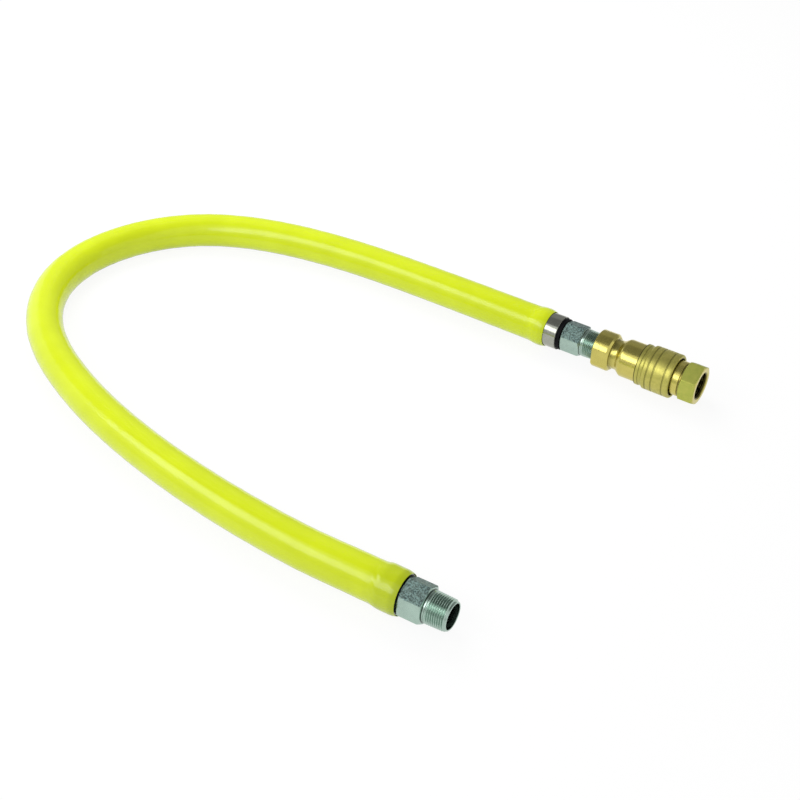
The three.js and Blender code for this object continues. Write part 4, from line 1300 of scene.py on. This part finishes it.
@group_once
def speckle_group(name):
    """Cast speckle: blotches and pits of a face left as forged and plated."""
    tree, given, out = new_group(name, {
        "Vector": VECTOR, "Scale": ("NodeSocketFloat", 700.0),
    }, ("Spots", "Height"))
    coarse = noise(tree, given["Vector"], given["Scale"], 2.0, Roughness=0.6)
    cells = add(tree, "ShaderNodeTexVoronoi", Vector=given["Vector"], Scale=given["Scale"])
    spots = remap(tree, coarse, 0.42, 0.6)
    pits = remap(tree, cells.outputs["Distance"], 0.15, 0.5)
    feed(tree, out, Spots=spots, Height=scaled(tree, spots, pits))
    return tree


@group_once
def turning_group(name):
    """Turning marks: fine rings left by a lathe, from the length along the outline."""
    tree, given, out = new_group(name, {
        "UV": VECTOR, "Rings": ("NodeSocketFloat", 6.0),
    }, ("Rings", "Bands"))
    parts = add(tree, "ShaderNodeSeparateXYZ", Vector=given["UV"])
    fine = line_noise(tree, scaled(tree, parts.outputs["X"], given["Rings"]), 3.0)
    wide = line_noise(tree, scaled(tree, parts.outputs["X"], 0.6), 2.0)
    feed(tree, out, Rings=remap(tree, fine, 0.3, 0.7), Bands=remap(tree, wide, 0.35, 0.65))
    return tree


@group_once
def scratch_group(name):
    """Scratches: sparse fine hairlines in mixed directions."""
    tree, given, out = new_group(name, {
        "Vector": VECTOR, "Scale": ("NodeSocketFloat", 90.0),
    }, ("Lines",))
    patches = noise(tree, given["Vector"], 40.0, 1.0)
    waves = add(tree, "ShaderNodeTexWave", {"wave_type": "BANDS", "bands_direction": "DIAGONAL"},
                Vector=given["Vector"], Scale=given["Scale"], Distortion=9.0, Detail=2.0)
    lines = remap(tree, waves.outputs[1], 0.965, 1.0)
    kept = remap(tree, patches, 0.5, 0.62)
    feed(tree, out, Lines=scaled(tree, lines, kept))
    return tree


@group_once
def wear_and_highlight_group(name):
    """Edge wear: 1 on convex edges that hands and tools have rubbed, 0 elsewhere."""
    tree, given, out = new_group(name, {
        "Vector": VECTOR, "Spread": ("NodeSocketFloat", 0.06),
    }, ("Edges",))
    geometry = add(tree, "ShaderNodeNewGeometry")
    patches = noise(tree, given["Vector"], 260.0, 3.0)
    edge = remap(tree, geometry.outputs["Pointiness"], 0.5, total(tree, given["Spread"], 0.5))
    rubbed = remap(tree, patches, 0.35, 0.6)
    feed(tree, out, Edges=maths(tree, "MULTIPLY", edge, rubbed, True))
    return tree


@group_once
def weave_group(name):
    """Braid: flat strands that cross at an angle, over and under, from the UV map."""
    tree, given, out = new_group(name, {
        "UV": VECTOR, "Strands": ("NodeSocketFloat", 24.0), "Pitch": ("NodeSocketFloat", 0.25),
    }, ("Height",))
    parts = add(tree, "ShaderNodeSeparateXYZ", Vector=given["UV"])
    round_way = scaled(tree, parts.outputs["Y"], given["Strands"])
    along = scaled(tree, parts.outputs["X"], given["Pitch"])
    left = maths(tree, "ADD", round_way, along)
    right = maths(tree, "SUBTRACT", round_way, along)
    heights = [
        maths(tree, "ABSOLUTE", maths(tree, "SINE", scaled(tree, way, math.pi)))
        for way in (left, right)
    ]
    feed(tree, out, Height=maths(tree, "MAXIMUM", heights[0], scaled(tree, heights[1], 0.85)))
    return tree


def use(tree, group, **inputs):
    node = add(tree, "ShaderNodeGroup", {"node_tree": group()})
    for key, value in inputs.items():
        connect(tree, node.inputs[key], value)
    return node.outputs


def new_finish(name, **constants):
    """A material with one Principled shader whose constant sockets are set directly."""
    material = bpy.data.materials.new(name)
    material.use_nodes = True
    tree = material.node_tree
    shader = tree.nodes["Principled BSDF"]
    for key, value in constants.items():
        shader.inputs[key.replace("_", " ")].default_value = value
    return material, tree, shader


def tint(colour, factor):
    return tuple(channel * factor for channel in colour) + (1.0,)


def marked(tree, name):
    """A mark of the mesh's points, between 0 and 1."""
    return add(tree, "ShaderNodeAttribute", {"attribute_name": name}).outputs["Fac"]


def metal_finish(name, colour, look):
    """Turned metal: rings from the lathe, clouds, speckled cast faces, bright edges, dark places.

    A look holds the shade of the clouds, the roughness, the rings to a millimetre, the relief's
    strength, and for a face left as cast, milled or matt its colour and how speckled it is."""
    material, tree, shader = new_finish(name)
    place_of = add(tree, "ShaderNodeTexCoord").outputs
    marks = use(tree, turning_group, UV=place_of["UV"], Rings=look["rings"])
    clouds = use(tree, mottle_group, Vector=place_of["Object"], Scale=70.0)
    speckle = use(tree, speckle_group, Vector=place_of["Object"], Scale=820.0)
    lines = use(tree, scratch_group, Vector=place_of["Object"])["Lines"]
    edges = use(tree, wear_and_highlight_group, Vector=place_of["Object"])["Edges"]
    matt_and_shade, painted_shade = marked(tree, "matt_and_shade"), marked(tree, "painted_shade")
    base = mix_colours(tree, clouds["Clouds"], tint(colour, look["shade"]), tint(colour, 1.0))
    matt_and_shade_colour = mix_colours(tree, speckle["Spots"], tint(look["matt_and_shade"], 1 - look["spots"] / 2),
                          tint(look["matt_and_shade"], 1 + 2 * look["spots"]))
    base = mix_colours(tree, matt_and_shade, base, matt_and_shade_colour)
    # Worn edges are lightened, partly as a painted highlight; the shade mark brings painted shade
    for mark, change in ((edges, WORN_EDGE_AND_HIGHLIGHT), (painted_shade, PAINTED_SHADE_MIX)):
        share = scaled(tree, mark, change["share"])
        base = mix_colours(tree, share, base, tint(colour, change["shade"]))
    metal = maths(tree, "SUBTRACT", 1.0, scaled(tree, matt_and_shade, CAST_DULLNESS))
    effects = {"clouds": clouds["Fine"], "bands": marks["Bands"], "matt_and_shade": matt_and_shade, "lines": lines}
    added = [scaled(tree, effects[effect], amount) for effect, amount in METAL_ROUGHNESS.items()]
    rough = total(tree, look["roughness"], *added, clamp=True)
    pits = scaled(tree, scaled(tree, speckle["Height"], matt_and_shade), look["spots"])
    reliefs = {"rings": marks["Rings"], "clouds": clouds["Fine"], "lines": lines, "matt_and_shade": pits}
    added = [scaled(tree, reliefs[effect], amount) for effect, amount in METAL_HEIGHT.items()]
    height = total(tree, *added)
    feed(tree, shader, Base_Color=base, Metallic=metal, Roughness=rough,
         Normal=bumped(tree, height, look["relief"], 0.00005))
    return material


def coating_finish():
    """Extruded vinyl: soft clouds of colour, faint lines along the hose and an orange peel.

    It is darker at its ends, where the mark says so, and where it is seen at a low angle."""
    colour = settings().yellow
    material, tree, shader = new_finish(
        "Yellow coating", IOR=1.46, Specular_IOR_Level=0.5, Coat_Roughness=0.12)
    place_of = add(tree, "ShaderNodeTexCoord").outputs
    clouds = use(tree, mottle_group, Vector=place_of["Object"], Scale=26.0)
    peel = use(tree, mottle_group, Vector=place_of["Object"], Scale=160.0)
    parts = add(tree, "ShaderNodeSeparateXYZ", Vector=place_of["UV"])
    die_lines = line_noise(tree, scaled(tree, parts.outputs["Y"], 90.0), 2.0)
    base = mix_colours(tree, clouds["Clouds"], tint(colour, 0.95), tint(colour, 1.03))
    base = mix_colours(tree, scaled(tree, peel["Clouds"], 0.1), base,
                       (colour[0] * 0.86, colour[1] * 0.92, colour[2] * 0.7, 1.0))
    # Painted shade at the ends, where the mark says so, and along the outline
    base = mix_colours(tree, marked(tree, "painted_shade"), base, tint(COATING_IN_SHADE, 1.0))
    facing = add(tree, "ShaderNodeLayerWeight", Blend=0.5).outputs["Facing"]
    outline_shade = remap(tree, facing, 0.72, 1.0, 0.0, 0.6)
    base = mix_colours(tree, outline_shade, base, tint(COATING_OUTLINE_SHADE, 1.0))
    height = total(tree, scaled(tree, peel["Fine"], 0.2), peel["Clouds"], scaled(tree, die_lines, 0.6))
    feed(tree, shader, Base_Color=base, Roughness=remap(tree, clouds["Fine"], 0.0, 1.0, 0.16, 0.24),
         Coat_Weight=remap(tree, clouds["Clouds"], 0.0, 1.0, 0.05, 0.2),
         Normal=bumped(tree, height, 0.2, 0.0002))
    return material


def braid_finish():
    """Stainless braid: the weave's relief, dark between the strands."""
    colour = settings().stainless
    material, tree, shader = new_finish("Stainless braid", Metallic=1.0)
    place_of = add(tree, "ShaderNodeTexCoord").outputs
    weave = use(tree, weave_group, UV=place_of["UV"])["Height"]
    fine = use(tree, mottle_group, Vector=place_of["Object"], Scale=120.0)["Fine"]
    # Painted shade between the strands
    base = mix_colours(tree, weave, tint(colour, 0.25), tint(colour, 1.0))
    feed(tree, shader, Base_Color=base, Roughness=remap(tree, fine, 0.0, 1.0, 0.28, 0.42),
         Normal=bumped(tree, weave, 0.8, 0.0004))
    return material


def rubber_finish():
    """Black rubber: grey bloom in clouds, a fine grain and a dull gloss."""
    colour = settings().rubber
    material, tree, shader = new_finish("Black rubber", IOR=1.5, Specular_IOR_Level=0.1)
    place_of = add(tree, "ShaderNodeTexCoord").outputs
    clouds = use(tree, mottle_group, Vector=place_of["Object"], Scale=150.0)
    base = mix_colours(tree, clouds["Clouds"], tint(colour, 0.5), tint(colour, 1.6))
    feed(tree, shader, Base_Color=base, Roughness=remap(tree, clouds["Fine"], 0.0, 1.0, 0.5, 0.7),
         Normal=bumped(tree, clouds["Fine"], 0.3, 0.0001))
    return material


POLISHED = {"shade": 0.9, "roughness": 0.12, "rings": 5.0, "relief": 0.1, "spots": 0.0,
            "matt_and_shade": (0.5, 0.5, 0.5)}
FINISHES = {
    "yellow_coating": coating_finish,
    "black_rubber": rubber_finish,
    "stainless_steel": lambda: metal_finish("Stainless steel", settings().stainless, POLISHED),
    # The zinc's colour for matt faces, taken by the hexagons' upward faces only, is a painted shade
    "zinc_plated_steel": lambda: metal_finish("Zinc plated steel", settings().zinc, {
        **POLISHED, "shade": 0.86, "roughness": 0.2, "rings": 4.0, "relief": 0.22,
        "spots": 0.8, "matt_and_shade": (0.085, 0.13, 0.123)}),
    "polished_brass": lambda: metal_finish("Polished brass", settings().brass, {
        **POLISHED, "roughness": 0.17, "matt_and_shade": (0.42, 0.41, 0.09)}),
    "satin_brass": lambda: metal_finish("Satin brass", settings().brass, {
        **POLISHED, "roughness": 0.22, "rings": 3.0, "matt_and_shade": settings().dull_brass}),
    "spring_steel": lambda: metal_finish("Spring steel", settings().spring_steel, {
        **POLISHED, "roughness": 0.2, "rings": 7.0}),
}
made_finishes = {}


def finish(slot):
    """The finish of one of the record's slots, made once."""
    if slot not in made_finishes:
        made_finishes[slot] = FINISHES[slot]()
    return made_finishes[slot]


# Studio


def seen_rays(tree):
    """1 for rays that show the background: camera, glossy and transmission rays."""
    rays = add(tree, "ShaderNodeLightPath").outputs
    return total(tree, rays["Is Camera Ray"], rays["Is Glossy Ray"], rays["Is Transmission Ray"],
                 clamp=True)


def make_world(level):
    """White for the rays that show the background, a grey of the sky's level for the light."""
    world = bpy.data.worlds.new("Studio")
    world.use_nodes = True
    tree = world.node_tree
    background = tree.nodes["Background"]
    background.inputs["Color"].default_value = (1.0, 1.0, 1.0, 1.0)
    strength = remap(tree, seen_rays(tree), 0.0, 1.0, level, 1.0)
    tree.links.new(strength, background.inputs["Strength"])
    bpy.context.scene.world = world


def one_face(name, corners):
    """An object with four corners and one face."""
    mesh = bpy.data.meshes.new(name)
    mesh.from_pydata(corners, (), [(0, 1, 2, 3)])
    return linked(name, mesh)


def plain_nodes(obj, name):
    """Gives an object a material whose surface is still empty, and returns its tree."""
    material = bpy.data.materials.new(name)
    material.use_nodes = True
    tree = material.node_tree
    tree.nodes.remove(tree.nodes["Principled BSDF"])
    obj.data.materials.append(material)
    return tree


def make_floor():
    """A wide pale floor that shows white and keeps a faint shadow of the hose."""
    height = CAD_BOX[0][2] - FLOOR_DROP
    signs = ((-1, -1), (1, -1), (1, 1), (-1, 1))
    floor = one_face("floor", [(x * FLOOR_HALF, y * FLOOR_HALF, height) for x, y in signs])
    tree = plain_nodes(floor, "Pale floor")
    lit = add(tree, "ShaderNodeBsdfDiffuse", Color=(FLOOR_GREY, FLOOR_GREY, FLOOR_GREY, 1.0))
    white = add(tree, "ShaderNodeEmission", Color=(1.0, 1.0, 1.0, 1.0), Strength=FLOOR_WHITE)
    mixed = add(tree, "ShaderNodeMixShader", Fac=scaled(tree, seen_rays(tree), FLOOR_WHITE_SHARE))
    tree.links.new(lit.outputs[0], mixed.inputs[1])
    tree.links.new(white.outputs[0], mixed.inputs[2])
    tree.links.new(mixed.outputs[0], tree.nodes["Material Output"].inputs["Surface"])


# Surroundings that only mirrors show, in metres: four corners and how bright each is
PANELS = {
    "ceiling": (((-2.2, -0.42, 1.25), (1.6, -0.42, 1.25), (1.6, 0.95, 1.25), (-2.2, 0.95, 1.25)), 0.25),
    "back_wall": (((-2.2, 0.95, 0.0), (1.6, 0.95, 0.0), (1.6, 0.95, 1.25), (-2.2, 0.95, 1.25)), 0.38),
    "front_wall": (((-2.8, -2.1, 0.0), (2.2, -2.1, 0.0), (2.2, -2.1, 1.0), (-2.8, -2.1, 1.0)), 0.7),
}


def make_panel(name, corners, level):
    """A grey panel of the studio, seen by mirrors alone."""
    panel = one_face(name, corners)
    tree = plain_nodes(panel, f"Grey of the {name}")
    grey = add(tree, "ShaderNodeEmission", Color=(level, level, level, 1.0), Strength=1.0)
    tree.links.new(grey.outputs[0], tree.nodes["Material Output"].inputs["Surface"])
    for ray in ("camera", "diffuse", "transmission", "volume_scatter", "shadow"):
        setattr(panel, f"visible_{ray}", False)


def make_light(name, location, target, width, height, level):
    """A soft rectangular light. Its power is pi times its area times its brightness."""
    data = bpy.data.lights.new(name, "AREA")
    data.shape = "RECTANGLE"
    data.size, data.size_y = width, height
    data.energy = math.pi * width * height * level
    light = linked(name, data)
    light.location = location
    way = Vector(target) - Vector(location)
    light.rotation_mode = "QUATERNION"
    light.rotation_quaternion = way.to_track_quat("-Z", "Y")
    light.visible_camera = False
    return light


def make_camera(lens):
    """The camera at the photograph's place, height and direction."""
    data = bpy.data.cameras.new("camera")
    data.lens = lens
    data.sensor_width = SENSOR_WIDTH
    camera = linked("camera", data)
    flat = Vector(CAMERA_WAY).normalized()
    way = flat * math.cos(CAMERA_DOWN) + Vector((0.0, 0.0, -math.sin(CAMERA_DOWN)))
    camera.location = CAMERA_PLACE
    camera.rotation_mode = "QUATERNION"
    camera.rotation_quaternion = way.to_track_quat("-Z", "Y")
    bpy.context.scene.camera = camera


# Operators


class GASHOSE_OT_stage(bpy.types.Operator):
    """Make the camera, the pale floor, the world and the soft lights"""

    bl_idname = "gashose.stage"
    bl_label = "Studio"

    def execute(self, context):
        stage = context.scene.gas_hose_stage
        make_camera(stage.lens)
        make_world(stage.sky_level)
        make_floor()
        for name, (corners, level) in PANELS.items():
            make_panel(name, corners, level)
        make_light("key_light", level=stage.key_level, **KEY_LIGHT)
        left = make_light("left_light", level=stage.left_level, **LEFT_LIGHT)
        left.visible_glossy = False
        context.scene.view_settings.view_transform = "Standard"
        return {"FINISHED"}


class GASHOSE_OT_hose(bpy.types.Operator):
    """Make the near nipple and the yellow coating, and declare the free hose"""

    bl_idname = "gashose.hose"
    bl_label = "Coated hose"

    def execute(self, context):
        nipple = make_near_nipple()
        jacket, route = make_jacket()
        path = route.at(np.linspace(0, route.length, PATH_POINTS)) * MM
        return {"FINISHED"}


class GASHOSE_OT_inner_tubes(bpy.types.Operator):
    """Make the braid, the corrugated tube and the near collar"""

    bl_idname = "gashose.inner_tubes"
    bl_label = "Braid and inner tube"

    def execute(self, context):
        route = Route()
        make_braid(route)
        make_corrugated_tube(route)
        make_near_collar()
        return {"FINISHED"}


class GASHOSE_OT_swivel(bpy.types.Operator):
    """Make the swivel: housing, collar, retaining ring, dust ring and nipple"""

    bl_idname = "gashose.swivel"
    bl_label = "Swivel"

    def execute(self, context):
        make_swivel_housing()
        make_swivel_collar()
        make_retaining_ring()
        make_dust_ring()
        make_swivel_nipple()
        return {"FINISHED"}


class GASHOSE_OT_seals(bpy.types.Operator):
    """Make the rubber sealing rings"""

    bl_idname = "gashose.seals"
    bl_label = "Sealing rings"

    def execute(self, context):
        make_seals()
        return {"FINISHED"}


class GASHOSE_OT_socket(bpy.types.Operator):
    """Make the coupling's socket: tail and barrel"""

    bl_idname = "gashose.socket"
    bl_label = "Socket"

    def execute(self, context):
        make_socket_tail()
        make_socket_barrel()
        return {"FINISHED"}


class GASHOSE_OT_lock(bpy.types.Operator):
    """Make the balls, the release sleeve, its stop ring and the springs"""

    bl_idname = "gashose.lock"
    bl_label = "Balls, sleeve and springs"

    def execute(self, context):
        make_balls()
        make_sleeve()
        make_stop_ring()
        make_springs()
        return {"FINISHED"}


class GASHOSE_OT_valve(bpy.types.Operator):
    """Make the valve inside the socket"""

    bl_idname = "gashose.valve"
    bl_label = "Valve"

    def execute(self, context):
        make_valve()
        return {"FINISHED"}


class GASHOSE_OT_plug(bpy.types.Operator):
    """Make the plug"""

    bl_idname = "gashose.plug"
    bl_label = "Plug"

    def execute(self, context):
        make_plug()
        return {"FINISHED"}


OPERATORS = (
    GASHOSE_OT_stage, GASHOSE_OT_hose, GASHOSE_OT_inner_tubes, GASHOSE_OT_swivel, GASHOSE_OT_seals,
    GASHOSE_OT_socket, GASHOSE_OT_lock, GASHOSE_OT_valve, GASHOSE_OT_plug,
)


class GASHOSE_PT_panel(bpy.types.Panel):
    """Sizes, colours and pieces of the gas hose"""

    bl_idname = "GASHOSE_PT_panel"
    bl_label = "Gas hose"
    bl_space_type = "VIEW_3D"
    bl_region_type = "UI"
    bl_category = "Gas hose"

    def draw(self, context):
        for group in (context.scene.gas_hose, context.scene.gas_hose_stage):
            for name in group.__annotations__:
                self.layout.prop(group, name)
        for operator in OPERATORS:
            self.layout.operator(operator.bl_idname)


CLASSES = (GasHoseSettings, GasHoseStageSettings, *OPERATORS, GASHOSE_PT_panel)


def register():
    for cls in CLASSES:
        bpy.utils.register_class(cls)
    bpy.types.Scene.gas_hose = bpy.props.PointerProperty(type=GasHoseSettings)
    bpy.types.Scene.gas_hose_stage = bpy.props.PointerProperty(type=GasHoseStageSettings)


def unregister():
    del bpy.types.Scene.gas_hose_stage
    del bpy.types.Scene.gas_hose
    for cls in reversed(CLASSES):
        bpy.utils.unregister_class(cls)


def main():
    register()
    bpy.ops.gashose.stage()
    bpy.ops.gashose.hose()
    bpy.ops.gashose.inner_tubes()
    bpy.ops.gashose.swivel()
    bpy.ops.gashose.seals()
    bpy.ops.gashose.socket()
    bpy.ops.gashose.lock()
    bpy.ops.gashose.valve()
    bpy.ops.gashose.plug()


if __name__ == "__main__":
    main()
